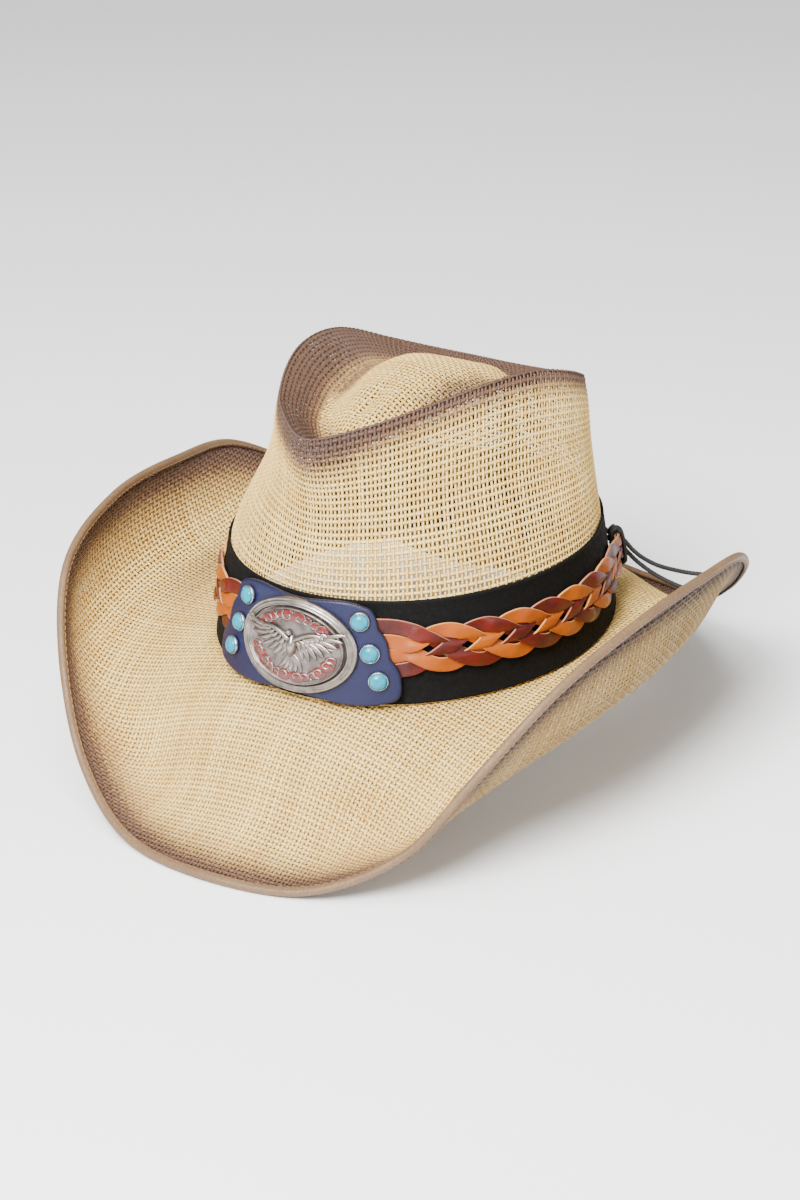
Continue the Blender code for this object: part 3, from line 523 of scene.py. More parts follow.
def weave_family(rng, straw, name, parts, sheet, widest, wave, drifting, swelling, closed):
    """Weaves one family of the crown's strands, whose sheet has them as its first index."""
    lines, sides, ups, burn_and_shade, tight = sheet
    count, samples = lines.shape[:2]
    widths = strand_width(lines, widest, tight, not closed)
    drift = wander(rng, count, samples, *drifting)
    swell = 1 + wander(rng, count, samples, *swelling)
    tones = rng.uniform(0, 1, count)
    share = math.ceil(count / parts)
    for part in range(parts):
        strands = Strands()
        for number in range(part * share, min((part + 1) * share, count)):
            lift = wave * np.cos(math.pi * (np.arange(samples) / 2 + number))
            side, up = sides[number], ups[number]
            centre = lines[number] + up * lift[:, None] + side * drift[number][:, None]
            strands.add(centre, side, up, widths[number] * swell[number], CROWN_STRAND,
                        {"burn_and_shade": burn_and_shade[number], "tone": tones[number]}, number, closed=closed)
        strands.piece(f"{name}_{part + 1}", straw, "crown")


def weave_crown(straw):
    rng = np.random.default_rng(SEED)
    grid, below, inner = crown_sheet()
    normals = sheet_normals(grid)
    rows, columns = grid.shape[:2]
    middle = grid - normals * (STRAW / 2)
    around = unit(np.roll(grid, -1, axis=1) - np.roll(grid, 1, axis=1))
    along = unit(np.gradient(grid, axis=0))
    angle = np.broadcast_to(np.arange(columns) * 2 * math.pi / columns, (rows, columns))
    burn_and_shade = crown_burn(below, angle, inner)
    tight = 1 - smoothstep(below, 1.0, 14.0)
    uprights = [values[:, 0::2].swapaxes(0, 1) for values in (middle, around, normals, burn_and_shade, tight)]
    rounds = [values[0::2] for values in (middle, along, normals, burn_and_shade, tight)]
    weave_family(rng, straw, "crown_uprights", 4, uprights, CROWN_UPRIGHT_WIDTH, CROWN_WAVE,
                 (0.085, 2.0), (0.07, 5.0), False)
    weave_family(rng, straw, "crown_rounds", 2, rounds, CROWN_ROUND_WIDTH, -CROWN_WAVE,
                 (0.10, 4.0), (0.06, 9.0), True)
    weave_dome(straw, rng)


def surface_tree(first_stop):
    """The crown's top as a tree to cast rays on, from a stop of its sections to the crest."""
    columns = 192
    stops = np.linspace(first_stop, CREST_STOP, 28)
    grid = np.array(crown_sections(columns, stops)).transpose(1, 0, 2)
    quads = grid_quads(len(stops), columns, close_columns=True)
    return BVHTree.FromPolygons(grid.reshape(-1, 3).tolist(), quads.tolist())


def weave_dome(straw, rng):
    """The dome inside the crease, woven square to the hat."""
    whole, dome = surface_tree(RIDGE_STOP + 0.6), surface_tree(CREASE_STOP - 0.12)
    xs, ys = (half_steps(reach, pitch) for reach, pitch in zip(DOME_REACH, DOME_PITCH))
    heights = np.full((len(xs), len(ys)), np.nan)
    inside = np.zeros((len(xs), len(ys)), bool)
    down = Vector((0, 0, -1))
    for i, x in enumerate(xs):
        for j, y in enumerate(ys):
            start = Vector((x, y, ABOVE_ALL))
            hit = whole.ray_cast(start, down)[0]
            if hit is not None:
                heights[i, j] = hit.z
                inside[i, j] = dome.ray_cast(start, down)[0] is not None
    slope_x, slope_y = np.gradient(heights, DOME_PITCH[0] / 2, DOME_PITCH[1] / 2)
    inside &= np.isfinite(slope_x) & np.isfinite(slope_y)
    up = unit(np.stack([-slope_x, -slope_y, np.ones_like(heights)], axis=-1))
    place_x, place_y = np.meshgrid(xs, ys, indexing="ij")
    surface = np.stack([place_x, place_y, heights], axis=-1) - up * (STRAW / 2)
    crest = np.interp(ys, *np.array(SPINE_HEIGHTS, float).T)
    burn_and_shade = 0.6 * smoothstep(crest[None, :] - heights, 2.5, 9.0)
    sheet = (surface, up, inside, burn_and_shade)
    for family, width in zip(families(xs, ys, DOME_PITCH, CROWN_WAVE, sheet, sheet), DOME_WIDTHS):
        name, lines, others, wave, laid = family
        strands = Strands()
        for index, number in every_other(lines):
            tone = rng.uniform(0, 1)
            add_runs(strands, *[values[index] for values in laid], wave, others + number, width,
                     CROWN_STRAND, tone, index // 2)
        strands.piece(f"crown_dome_{name}", straw, "crown")


# ---------------------------------------------------------------- woven brim

class Brim:
    """The brim's upper face, read by the angle round the hat and the distance from the crown wall."""

    def __init__(self, columns=480, samples=72):
        self.columns, self.samples = columns, samples
        angles = np.arange(columns) * 2 * math.pi / columns
        edge = ring_curve(EDGE, columns)
        lines, totals = [], []
        for angle, tip in zip(angles, edge):
            line = self.line(angle, tip)
            run = lengths_along(line)
            totals.append(run[-1])
            lines.append(read_line(line, run, np.linspace(0, run[-1], samples)))
        self.grid = np.array(lines).transpose(1, 0, 2)
        self.normals = -sheet_normals(self.grid)
        self.totals = np.array(totals)

    @staticmethod
    def line(angle, edge):
        """The brim's section at an angle, one curve from the crown wall to the edge."""
        start = oval(angle, 0.0)
        away = edge - start
        chord = np.linalg.norm(away)
        heading = unit(away * np.array((1, 1, 0)))
        first = math.radians(cosine_sum(BREAK_SLOPE, angle))
        last = math.radians(cosine_sum(EDGE_SLOPE, angle))
        up = np.array((0, 0, 1.0))
        leaving = outward(np.float64(angle)) * math.cos(first) + up * math.sin(first)
        a = start + leaving * chord * BREAK_HANDLE
        b = edge - (heading * math.cos(last) + up * math.sin(last)) * chord * EDGE_HANDLE
        t = np.linspace(0, 1, 90)[:, None]
        return (1 - t) ** 3 * start + 3 * t * (1 - t) ** 2 * a + 3 * t * t * (1 - t) * b + t ** 3 * edge

    def between(self, angle):
        """The columns on both sides of an angle, and its share of the way from one to the other."""
        column = (angle / (2 * math.pi) * self.columns) % self.columns
        left = np.floor(column).astype(int) % self.columns
        return left, (left + 1) % self.columns, column - np.floor(column)

    def total(self, angle):
        """The distance from the crown wall to the edge."""
        left, right, share = self.between(angle)
        return self.totals[left] * (1 - share) + self.totals[right] * share

    def read(self, angle, distance):
        """Places and normals, from the lip inside the crown wall out to the edge."""
        left, right, share = self.between(angle)
        row = np.clip(distance / self.total(angle), 0, 1) * (self.samples - 1)
        low = np.minimum(row.astype(int), self.samples - 2)
        x, y = share[..., None], (row - low)[..., None]

        def blend(values):
            inner = values[low, left] * (1 - x) + values[low, right] * x
            outer = values[low + 1, left] * (1 - x) + values[low + 1, right] * x
            return inner * (1 - y) + outer * y

        places = blend(self.grid) + outward(angle) * np.minimum(distance, 0)[..., None]
        return places, unit(blend(self.normals))


def flat_to_brim(x, y):
    """The angle and distance from the crown wall of a point on the brim's flat cut."""
    a, b = BASE_HALF_WIDTH, BASE_HALF_LENGTH
    angle = np.arctan2(x / a, -y / b)
    for _ in range(12):
        foot = np.stack([a * np.sin(angle), -b * np.cos(angle)], axis=-1)
        normal = np.stack([np.sin(angle) / a, -np.cos(angle) / b], axis=-1)
        size = np.linalg.norm(normal, axis=-1)
        distance = ((x - foot[..., 0]) * normal[..., 0] + (y - foot[..., 1]) * normal[..., 1]) / size
        share = distance / size
        angle = np.arctan2(x / (a + share / a), -y / (b + share / b))
    return angle % (2 * math.pi), distance


def brim_burn_and_shade(angle, from_edge, distance, ply):
    """Airbrushed brown along the brim's edge; above, each side's channel is darkened, partly airbrushed brown
    and partly painted shade in its hollow, and the brim is darker round the crown's foot.
    """
    reach, more = BRIM_BURN_REACH[ply]
    edge = (1 - smoothstep(from_edge, -2.0, reach + more * np.abs(np.sin(angle)))) ** 1.6
    burn_and_shade = edge * 0.95
    if ply == "top":
        fold = np.abs(np.arctan2(np.sin(angle), np.cos(angle)))
        # Each side's channel: airbrushed brown together with painted shade in its hollow; then a darkening
        # round the crown's foot.
        channel = 0.42 * np.exp(-((fold - 1.55) / 0.42) ** 2 - ((distance - 24.0) / 13.0) ** 2)
        burn_and_shade = burn_and_shade + (channel + 0.22 * np.exp(-(distance / 5.0) ** 2))
    return np.clip(burn_and_shade, 0, 1)


def weave_brim(straw, brim):
    rng = np.random.default_rng(SEED + 1)
    xs, ys = (half_steps(reach, pitch) for reach, pitch in zip(BRIM_REACH, BRIM_PITCH))
    flat_x, flat_y = np.meshgrid(xs, ys, indexing="ij")
    for ply in ("top", "under"):
        drift_x = wander(rng, len(xs), len(ys), 0.07, 3.0)
        drift_y = wander(rng, len(ys), len(xs), 0.08, 3.0)

        def lay(x, y):
            """Places, normals, whether they lie on the ply, and brown (airbrushed, with painted shade in the
            upper ply's side channels), of points on its flat cut.
            """
            turn, shift = PLY_TURN[ply], PLY_SHIFT[ply]
            across = x * math.cos(turn) - y * math.sin(turn) + shift[0]
            ahead = x * math.sin(turn) + y * math.cos(turn) + shift[1]
            angle, distance = flat_to_brim(across, ahead)
            places, up = brim.read(angle, distance)
            total = brim.total(angle)
            inside = (distance > -LIP) & (distance < total - PLY_END)
            return places - up * PLY_DOWN[ply], up, inside, brim_burn_and_shade(angle, total - distance, distance, ply)

        both = families(xs, ys, BRIM_PITCH, BRIM_WAVE, lay(flat_x + drift_x, flat_y),
                        lay(flat_x, flat_y + drift_y.T))
        for (family, lines, others, wave, sheet), width in zip(both, BRIM_WIDTHS):
            tones = rng.uniform(0, 1, len(lines))
            swells = 1 + rng.normal(0, 0.05, len(lines))
            gathered = [Strands()]
            for index, number in every_other(lines):
                add_runs(gathered[-1], *[values[index] for values in sheet], wave, others + number,
                         width * swells[index], BRIM_STRAND, tones[index], index // 2)
                if gathered[-1].count > LARGEST_PIECE:
                    gathered.append(Strands())
            for part, strands in enumerate(gathered, start=1):
                if strands.count:
                    strands.piece(f"brim_{ply}_{family}_{part}", straw, f"brim_{ply}_ply")


# ---------------------------------------------------------------- closed bodies

class Bodies:
    """Gathers closed bodies, each swept from rings of points, into one piece."""

    def __init__(self):
        self.points, self.quads, self.values, self.count = [], [], {}, 0

    def add(self, rings, loop=False, **values):
        """One body through its rings, capped at both ends or closed in a loop."""
        rings = np.asarray(rings, float)
        rows, sides = rings.shape[:2]
        quads = grid_quads(rows, sides, close_rows=loop, close_columns=True)
        if not loop:
            i = np.arange(sides // 2 - 1)
            cap = np.stack([i, i + 1, sides - 2 - i, sides - 1 - i], axis=1)
            quads = np.concatenate([quads, cap[:, ::-1], cap + (rows - 1) * sides])
        points = rings.reshape(-1, 3)
        if signed_volume(points, quads) < 0:
            quads = quads[:, ::-1]
        self.points.append(points)
        self.quads.append(quads + self.count)
        for key, value in values.items():
            self.values.setdefault(key, []).append(np.broadcast_to(value, (rows, sides)).ravel())
        self.count += rows * sides
        return self

    def piece(self, name, material, body, slot, *nodes):
        """One piece of all the bodies, on its CAD body, hiding the CAD parts of the nodes it stands for; its
        slot is not used.
        """
        values = {key: np.concatenate(value) for key, value in self.values.items()}
        piece = add_mesh(name, np.concatenate(self.points), np.concatenate(self.quads), material, values)
        return place(piece, body, slot, *nodes)


def carried_frame(line):
    """Two directions square to a line at each of its points, turning as little as possible."""
    tangents = unit(np.gradient(line, axis=0))
    start = np.cross(tangents[0], (0.0, 0.0, 1.0))
    side = unit(start if np.linalg.norm(start) > 0.1 else np.cross(tangents[0], (1.0, 0.0, 0.0)))
    sides = []
    for tangent in tangents:
        side = unit(side - tangent * np.dot(side, tangent))
        sides.append(side)
    sides = np.array(sides)
    return sides, np.cross(tangents, sides)


def turns_of(sides):
    return np.arange(sides) * 2 * math.pi / sides


def round_rings(line, reach, sides):
    """Rings round a line, whose radius is reach: a number for each ring, or for each of its points."""
    a, b = carried_frame(line)
    turn = turns_of(sides)
    return (line[:, None] + a[:, None] * (reach * np.cos(turn))[..., None]
            + b[:, None] * (reach * np.sin(turn))[..., None])


def cord_rings(line, radius, loop=False):
    """Rings round a line, with the plies of a twisted cord winding round it."""
    lengths = lengths_along(line)
    total = lengths[-1] + (np.linalg.norm(line[0] - line[-1]) if loop else 0)
    turns = round(total / CORD_TWIST) / total if loop else 1 / CORD_TWIST
    phase = turns_of(CORD_SIDES)[None, :] - 2 * math.pi * turns * lengths[:, None]
    reach = radius * (0.84 + 0.16 * np.abs(np.cos(CORD_PLIES * phase / 2)))
    return round_rings(line, reach, CORD_SIDES)


def sew(stitches, line, angles, pitch, span, samples, middle_of, halves):
    """Adds a row of stitches round the hat, along a line that is read at the angles."""
    run = lengths_along(line)
    count = int(run[-1] / pitch)
    for number in range(count):
        stops = (number + np.linspace(*span, samples)) * run[-1] / count
        middle = middle_of(np.interp(stops, run, angles))
        a, b = carried_frame(middle)
        stitches.add(np.stack([middle + halves[0] * a, middle + halves[1] * b,
                               middle - halves[0] * a, middle - halves[1] * b], axis=1))


# ---------------------------------------------------------------- hem, ribbon and sweatband

def add_hem(brim, hem_straw, thread):
    """The strip folded over the brim's edge, and a row of stitches on each of its faces."""
    angles = turns_of(720)
    total = brim.total(angles)

    def at(back):
        places, up = brim.read(angles, total - back)
        return places - up * (PLY + GAP / 2), up

    def leg(spot, out):
        return spot[0] + out * spot[1]

    def nose(radius, turns):
        return [fold[0] + radius * (math.cos(turn) * heading + math.sin(turn) * fold[1]) for turn in turns]

    lap, inner_lap, end, fold = (at(back) for back in (HEM_REACH, HEM_REACH - 0.7, PLY_END, HEM_OUTER))
    heading = unit(at(0.0)[0] - end[0])
    turns = np.radians(np.linspace(75, -75, 11))
    edge = HEM_OUTER - 0.25
    outer = [leg(lap, edge), leg(inner_lap, HEM_OUTER), leg(end, HEM_OUTER), *nose(HEM_OUTER, turns),
             leg(end, -HEM_OUTER), leg(inner_lap, -HEM_OUTER), leg(lap, -edge)]
    inner = [leg(lap, -HEM_INNER), leg(end, -HEM_INNER), *nose(HEM_INNER, turns[::-1]),
             leg(end, HEM_INNER), leg(lap, HEM_INNER)]
    rings = np.array(outer + inner)
    rim = np.zeros(len(rings))
    rim[[0, len(outer) - 1, len(outer), -1]] = 1.0
    rim[[1, len(outer) - 2]] = 0.45
    hem = Bodies().add(rings, loop=True, rim=rim[:, None])
    hem.piece("rolled_hem", hem_straw, "hat", "hem_straw", "brim_hem")

    stitch_back = HEM_REACH - 1.1
    rise = np.array((-0.1, 0.16, 0.2, 0.16, -0.1))
    stitches = Bodies()
    for face in (1, -1):
        def on_face(angle):
            spot, lift = brim.read(angle, brim.total(angle) - stitch_back)
            return spot - lift * (PLY + GAP / 2) + face * lift * (HEM_OUTER + rise)[:, None]

        line, _ = brim.read(ROUND, brim.total(ROUND) - stitch_back)
        sew(stitches, line, ROUND, 3.4, (0.12, 0.88), 5, on_face, (0.24, 0.2))
    stitches.piece("hem_stitches", thread, "hat", "hem_straw")


def way_round(height, outset):
    return lengths_along(oval(np.linspace(0, 2 * math.pi, 721), height, outset))[-1]


def add_ribbon(cloth):
    """The ribbon, ribbed from edge to edge, with a firm woven edge above and below."""
    angles = np.arange(2 * RIBS) * math.pi / RIBS
    rib = np.where(np.arange(2 * RIBS) % 2 == 0, 0.0, -RIB_DEPTH)
    low, high = RIBBON_BOTTOM, RIBBON_TOP
    heights = [low, low + 0.3, low + 1.3, low + 1.6, *np.linspace(low + 8, high - 8, 5), high - 1.6,
               high - 1.3, high - 0.3, high]
    shares = [0.0, 0.0, 0.0, 1.0] + [1.0] * 5 + [1.0, 0.0, 0.0, 0.0]
    drops = [-0.25, 0.0, 0.0, -0.06] + [-0.06] * 5 + [-0.06, 0.0, 0.0, -0.25]
    outer = [oval(angles, z, GAP + RIBBON + drop + share * rib)
             for z, share, drop in zip(heights, shares, drops)]
    inner = [oval(angles, z, GAP) for z in (high, (low + high) / 2, low)]
    ribbon = Bodies().add(np.array(outer + inner), loop=True)
    ribbon = ribbon.piece("grosgrain_ribbon", cloth, "hat", "ribbon_cloth", "hat_ribbon")
    length = way_round((low + high) / 2, GAP + RIBBON / 2)


def add_sweatband(cloth, thread):
    """The band inside the crown, with a groove under its top edge that holds its stitches."""
    angles = np.arange(480) * math.pi / 240
    top = SWEATBAND_TOP
    face, back = -STRAW - GAP - SWEATBAND, -STRAW - GAP
    section = [(back, 0.6), (back, top / 2), (back, top - 0.4), (back - 0.2, top), (face + 0.2, top),
               (face, top - 0.4), (face, top - 2.0), (face + 0.22, top - 2.5), (face, top - 3.0),
               (face, top / 2), (face, 3.0), (face, 0.6)]
    band = Bodies().add(np.array([oval(angles, z, out) for out, z in section]), loop=True)
    band = band.piece("inner_sweatband", cloth, "hat", "sweat_cloth", "sweatband")
    length = way_round(top / 2, (face + back) / 2)

    def in_groove(angle):
        return oval(angle, top - 2.5, face + 0.1 + np.array((0.15, -0.05, -0.05, 0.15)))

    stitches = Bodies()
    sew(stitches, oval(ROUND, top - 2.5, face), ROUND, 3.6, (0.14, 0.86), 4, in_groove, (0.22, 0.22))
    stitches.piece("sweatband_stitches", thread, "hat", "sweat_cloth")


# ---------------------------------------------------------------- hatband

# Angles round the hat and the band's lengths up to them, which band_point reads.
BAND_TABLE = np.linspace(0, math.pi, 721)
BAND_LENGTHS = lengths_along(oval(BAND_TABLE, BAND_FRONT, GAP + RIBBON))
STRAP_END = float(np.interp(math.radians(BRAID_END_ANGLE), BAND_TABLE, BAND_LENGTHS))


def band_point(along, up, out):
    """The place of a point given along, up and out from the ribbon's face."""
    along, up, out = np.broadcast_arrays(np.asarray(along, float), up, out)
    angle = np.sign(along) * np.interp(np.abs(along), BAND_LENGTHS, BAND_TABLE)
    share = np.abs(along) / BAND_LENGTHS[-1]
    height = BAND_FRONT + (BAND_BACK - BAND_FRONT) * share + up
    return oval(angle, height, GAP + RIBBON + out)


def strap_height(up, falling):
    """How far a strap stands out at a height across the braid, from -1 to 1."""
    crossing = BRAID_HALF * math.sqrt(0.5)
    near = -np.cos(math.pi * up / crossing)
    far = np.maximum(0.0, 1 - (np.abs(up) - crossing) / (BRAID_HALF + STRAP_WIDTH / 2 - crossing))
    share = np.clip(np.where(np.abs(up) <= crossing, near, far) * 1.9, -1, 1) * falling
    return np.sin(share * math.pi / 2)


def strap_centre(strap, s):
    """A strap's height at distances along the band, and whether it is falling (1) or climbing (-1)."""
    turn = 2 * math.pi * (s - BRAID_PHASE) / BRAID_PERIOD + strap * math.pi / 2
    first = 2 * math.pi * (FIRST_CROSSING - BRAID_PHASE) / BRAID_PERIOD + strap * math.pi / 2
    turn = np.maximum(turn, first)
    blend = smoothstep(s, WEAVE_START, WEAVE_FULL)
    fan = FAN_ORDER[strap] * FAN_PITCH
    falling = np.clip(2.5 * np.sin(turn), -1, 1)
    return fan + (BRAID_HALF * np.cos(turn) - fan) * blend, falling


def add_braids(tan, oxblood):
    """Four straps on each side, which fan out behind the plaque and plait into a flat braid."""
    end = STRAP_END - 0.2
    s = np.linspace(STRAP_START, end, 260)
    section = np.array(STRAP_SECTION)
    narrow = 1 - (1 - NARROW) * smoothstep(s, STRAP_END - NARROW_LENGTH, STRAP_END - WRAP_LENGTH)
    ramp = smoothstep(s, FIRST_CROSSING - 4, FIRST_CROSSING + 4)
    raised = smoothstep(s, STRAP_END - LIFT_START, STRAP_END - WRAP_LENGTH)
    rest = GAP + 0.1 + STRAP / 2
    out = rest + WEAVE * ramp + (WRAP_OUT - rest - WEAVE) * raised
    across = section[:, 0] * STRAP_WIDTH / 2 * narrow[:, None]
    for side, side_name in SIDES:
        for strap in range(4):
            up, falling = strap_centre(strap, s)
            centre_up = up * narrow
            slope = np.gradient(centre_up, s)
            length = np.hypot(1, slope)
            ring_up = centre_up[:, None] + across / length[:, None]
            ring_along = np.clip(s[:, None] - across * (slope / length)[:, None], STRAP_START, end)
            height = strap_height(ring_up / narrow[:, None], falling[:, None])
            ring_out = (out[:, None] + WEAVE * ramp[:, None] * height) + section[:, 1] * STRAP / 2
            rings = band_point(side * ring_along, ring_up, ring_out)
            leather, slot = ((tan, "tan_leather"), (oxblood, "oxblood_leather"))[strap % 2]
            Bodies().add(rings, raw=section[None, :, 2]).piece(
                f"strap_{side_name}_{strap + 1}", leather, "hatband", slot,
                f"braid_{side_name}_strap_{strap + 1}")


def rounded_outline(points, samples=10):
    """An outline's corners rounded off: heights against the distance along."""
    spans = len(points) - 1
    line = smooth_curve([(along, up, 0.0) for along, up in points],
                        np.linspace(0, spans, samples * spans + 1))
    order = np.maximum.accumulate(line[:, 0])
    return order + np.arange(len(order)) * 1e-6, line[:, 1]


def plate_grids(top, bottom, profile, columns=121, rows=22):
    """Grids of a plate on the band for each (inset, out) of its profile, from back to front."""
    top_x, top_up = rounded_outline(top)
    bottom_x, bottom_up = rounded_outline(bottom)
    half = min(top_x[-1], bottom_x[-1])
    share = np.sin(np.linspace(-math.pi / 2, math.pi / 2, columns))
    share = 0.45 * share + 0.55 * np.linspace(-1, 1, columns)
    reach = np.abs(share) * half
    grids = []
    for inset, out in profile:
        high = np.interp(reach, top_x, top_up) - inset
        low = np.interp(reach, bottom_x, bottom_up) + inset
        high = np.maximum(high, low + 0.4)
        up = low[:, None] + (high - low)[:, None] * np.linspace(0, 1, rows)
        grids.append(band_point((share * (half - inset))[:, None], up, out))
    return grids


def add_plaque(leather):
    """A back and a front face, joined round their rims by the rounded edge of raw leather."""
    grids = plate_grids(PLAQUE_TOP, PLAQUE_BOTTOM, [(inset, out) for inset, out, _ in PLAQUE_PROFILE])
    columns, rows = grids[0].shape[:2]
    index = np.arange(columns * rows).reshape(columns, rows)
    rim = np.concatenate([index[:, 0], index[-1, 1:], index[-2::-1, -1], index[0, -2:0:-1]])
    faces = grid_quads(columns, rows)
    points, quads, bare, previous, count = [], [faces], [], rim, 0
    for level, grid in enumerate(grids):
        whole = level in (0, len(grids) - 1)
        added = grid.reshape(-1, 3) if whole else grid.reshape(-1, 3)[rim]
        if level:
            ring = count + (rim if whole else np.arange(len(rim)))
            quads.append(np.stack([previous, np.roll(previous, -1), np.roll(ring, -1), ring], axis=1))
            previous = ring
        points.append(added)
        bare.append(np.full(len(added), PLAQUE_PROFILE[level][2]))
        count += len(added)
    quads.append(faces[:, ::-1] + count - columns * rows)
    points, quads = np.concatenate(points), np.concatenate(quads)
    quads = quads if signed_volume(points, quads) > 0 else quads[:, ::-1]
    piece = add_mesh("leather_plaque", points, quads, leather, {"raw": np.concatenate(bare)})
    place(piece, "hatband", "navy_leather", "plaque")


def turned(centre, halves, profile, base, sides):
    """Rings of a body turned from a profile of (share of the half size, out), laid on the band."""
    turn = turns_of(sides)
    return np.array([band_point(centre[0] + share * halves[0] * np.cos(turn),
                                centre[1] + share * halves[1] * np.sin(turn), base + out)
                     for share, out in profile])


def smooth_profile(profile, samples):
    spans = len(profile) - 1
    line = smooth_curve([(share, out, 0.0) for share, out in profile],
                        np.linspace(0, spans, samples * spans + 1))
    return [(share, out) for share, out, _ in line]


def on_buckle(x, y, out):
    """A place on the buckle, x and y counted from its centre as seen from the front."""
    return band_point(BUCKLE_CENTRE[0] + np.asarray(x, float), BUCKLE_CENTRE[1] + np.asarray(y, float), out)


def relief_tube(bodies, x, y, out, radius, sides=8):
    """A raised line on the buckle, with a radius at each of its points."""
    line = on_buckle(x, y, np.full(len(radius), out))
    bodies.add(round_rings(line, radius[:, None], sides))


def add_buckle(pewter, dark_pewter, enamel):
    """The buckle's plate with its stepped rim, the dish on it, and the scrolls on enamel in the dish."""
    halves = BUCKLE_HALVES
    for name, metal, slot, node, base, profile in (
            ("buckle_rim", pewter, "pewter", "buckle_plate", BUCKLE_BASE, BUCKLE_RIM),
            ("buckle_medallion_dish", dark_pewter, "dark_pewter", "buckle_medallion", SEAT, BUCKLE_DISH)):
        plate = Bodies().add(turned(BUCKLE_CENTRE, halves, profile, base, BUCKLE_SIDES))
        plate.piece(name, metal, "hatband", slot, node)

    scrolls, pads = Bodies(), Bodies()
    t = np.linspace(0, 1, 26)
    ground = SEAT + 1.15
    thick = 0.42 * np.sin(math.pi * (0.12 + 0.76 * t)) ** 0.6
    for centre_turn in (35, 90, 145, 215, 270, 325):
        for hand in (1, -1):
            for reach, size in ((9.0, 3.1), (20.0, 2.5)):
                lean = math.radians(centre_turn + hand * reach)
                x0, y0 = 0.635 * halves[0] * math.cos(lean), 0.64 * halves[1] * math.sin(lean)
                coil = lean + hand * (0.6 + 5.4 * t)
                radius = size * (1 - 0.8 * t)
                x, y = x0 + radius * np.cos(coil), y0 + 0.82 * radius * np.sin(coil)
                relief_tube(scrolls, x, y, ground + 0.28, thick)
                disc = ((size, -0.3), (size, 0.1), (size * 0.93, 0.2), (0.05, 0.3))
                pads.add(turned((BUCKLE_CENTRE[0] + x0, BUCKLE_CENTRE[1] + y0), (1, 0.82), disc, ground, 20))
    scrolls.piece("buckle_scrolls", pewter, "hatband", "pewter")
    pads.piece("buckle_enamel", enamel, "hatband", "dark_pewter")
    add_bird(pewter)


def feather(bodies, root, tip, width, out, rise):
    """One long feather: pointed, ridged along the middle and lying on its neighbours."""
    t = np.linspace(0, 1, 12)
    root, tip = np.array(root, float), np.array(tip, float)
    heading = unit(tip - root)
    side = np.array((-heading[1], heading[0]))
    bow = np.sin(math.pi * t)[:, None] * side * 0.5
    middle = root + (tip - root) * t[:, None] + bow
    half = width / 2 * np.minimum(1.0, 0.55 + t) * np.sqrt(np.clip(1.02 - t ** 3, 0, 1))
    rings = []
    for share, high in FEATHER_SECTION:
        spot = middle + side * (half * share)[:, None]
        rings.append(on_buckle(spot[:, 0] * BIRD_SIZE, spot[:, 1] * BIRD_SIZE - 0.6,
                               out + rise * t + 0.55 * high))
    bodies.add(np.array(rings).transpose(1, 0, 2))


def add_bird(pewter):
    """A plain soaring bird: spread wings of long feathers, a short body, a fanned tail and a small head."""
    bird = Bodies()
    perch = SEAT + 1.25
    for hand in (1, -1):
        for number in range(8):     # long feathers along the wing's edge
            share = number / 7
            root = (hand * (2.0 + 9.0 * share), 1.6 + 3.9 * share)
            lean = math.radians(-62 + 78 * share ** 1.2)
            reach = 6.0 + 4.4 * share ** 0.7
            tip = (root[0] + hand * reach * math.cos(lean) * 0.95, root[1] + reach * math.sin(lean))
            feather(bird, root, tip, 2.1 - 0.5 * share, perch + 0.1 + 0.05 * number, 0.15)
        for number in range(7):     # short feathers over their roots
            share = number / 6
            root = (hand * (1.4 + 8.6 * share), 3.0 + 3.6 * share)
            lean = math.radians(-55 + 62 * share)
            tip = (root[0] + hand * 3.9 * math.cos(lean), root[1] + 3.9 * math.sin(lean))
            feather(bird, root, tip, 1.8, perch + 0.75 + 0.04 * number, 0.05)
        t = np.linspace(0, 1, 18)
        x, y = hand * (1.0 + 12.5 * t), 3.1 + 4.6 * np.sin(t * 1.9) * (1 - 0.12 * t)
        relief_tube(bird, x, y, perch + 1.1, 1.15 * (1 - 0.62 * t) + 0.15)
    for number in range(-2, 3):     # the tail
        lean = math.radians(-90 + 15 * number)
        tip = (8.2 * math.cos(lean) * 1.1, -3.4 + 7.4 * math.sin(lean) * 0.75)
        feather(bird, (0.3 * number, -2.2), tip, 1.9, perch + 0.1 + 0.1 * (2 - abs(number)), 0.1)
    t = np.linspace(0, 1, 22)
    body = 2.5 * np.sin(math.pi * np.clip(0.06 + 0.9 * t, 0, 1)) ** 0.75
    relief_tube(bird, 0.35 * np.sin(2.2 * t), -4.2 + 9.6 * t, perch + 0.9, body * 0.92, 14)
    head = 1.35 * np.sin(math.pi * (0.1 + 0.86 * t)) ** 0.6
    relief_tube(bird, -0.2 - 3.0 * t, 5.6 + 0.9 * np.sin(2.2 * t), perch + 1.35, head * (1 - 0.45 * t), 12)
    bird.piece("soaring_bird", pewter, "hatband", "pewter", "buckle_bird")


def add_studs(silver, turquoise):
    """Six stones, each in its setting."""
    halves = (STUD_RADIUS, STUD_RADIUS)
    spots = [(BUCKLE_ALONG + side * along, up) for side, _ in SIDES for along, up in STUDS]
    for number, spot in enumerate(spots, start=1):
        bezel = Bodies().add(turned(spot, halves, smooth_profile(BEZEL, 2), BUCKLE_BASE, 48))
        bezel.piece(f"bezel_{number}", silver, "hatband", "silver", f"stud_setting_{number}")
        stone = Bodies().add(turned(spot, halves, smooth_profile(STONE, 3), BUCKLE_BASE + 0.6 + GAP, 48))
        stone.piece(f"cabochon_{number}", turquoise, "hatband", "turquoise", f"stud_stone_{number}")


# ---------------------------------------------------------------- tie cord

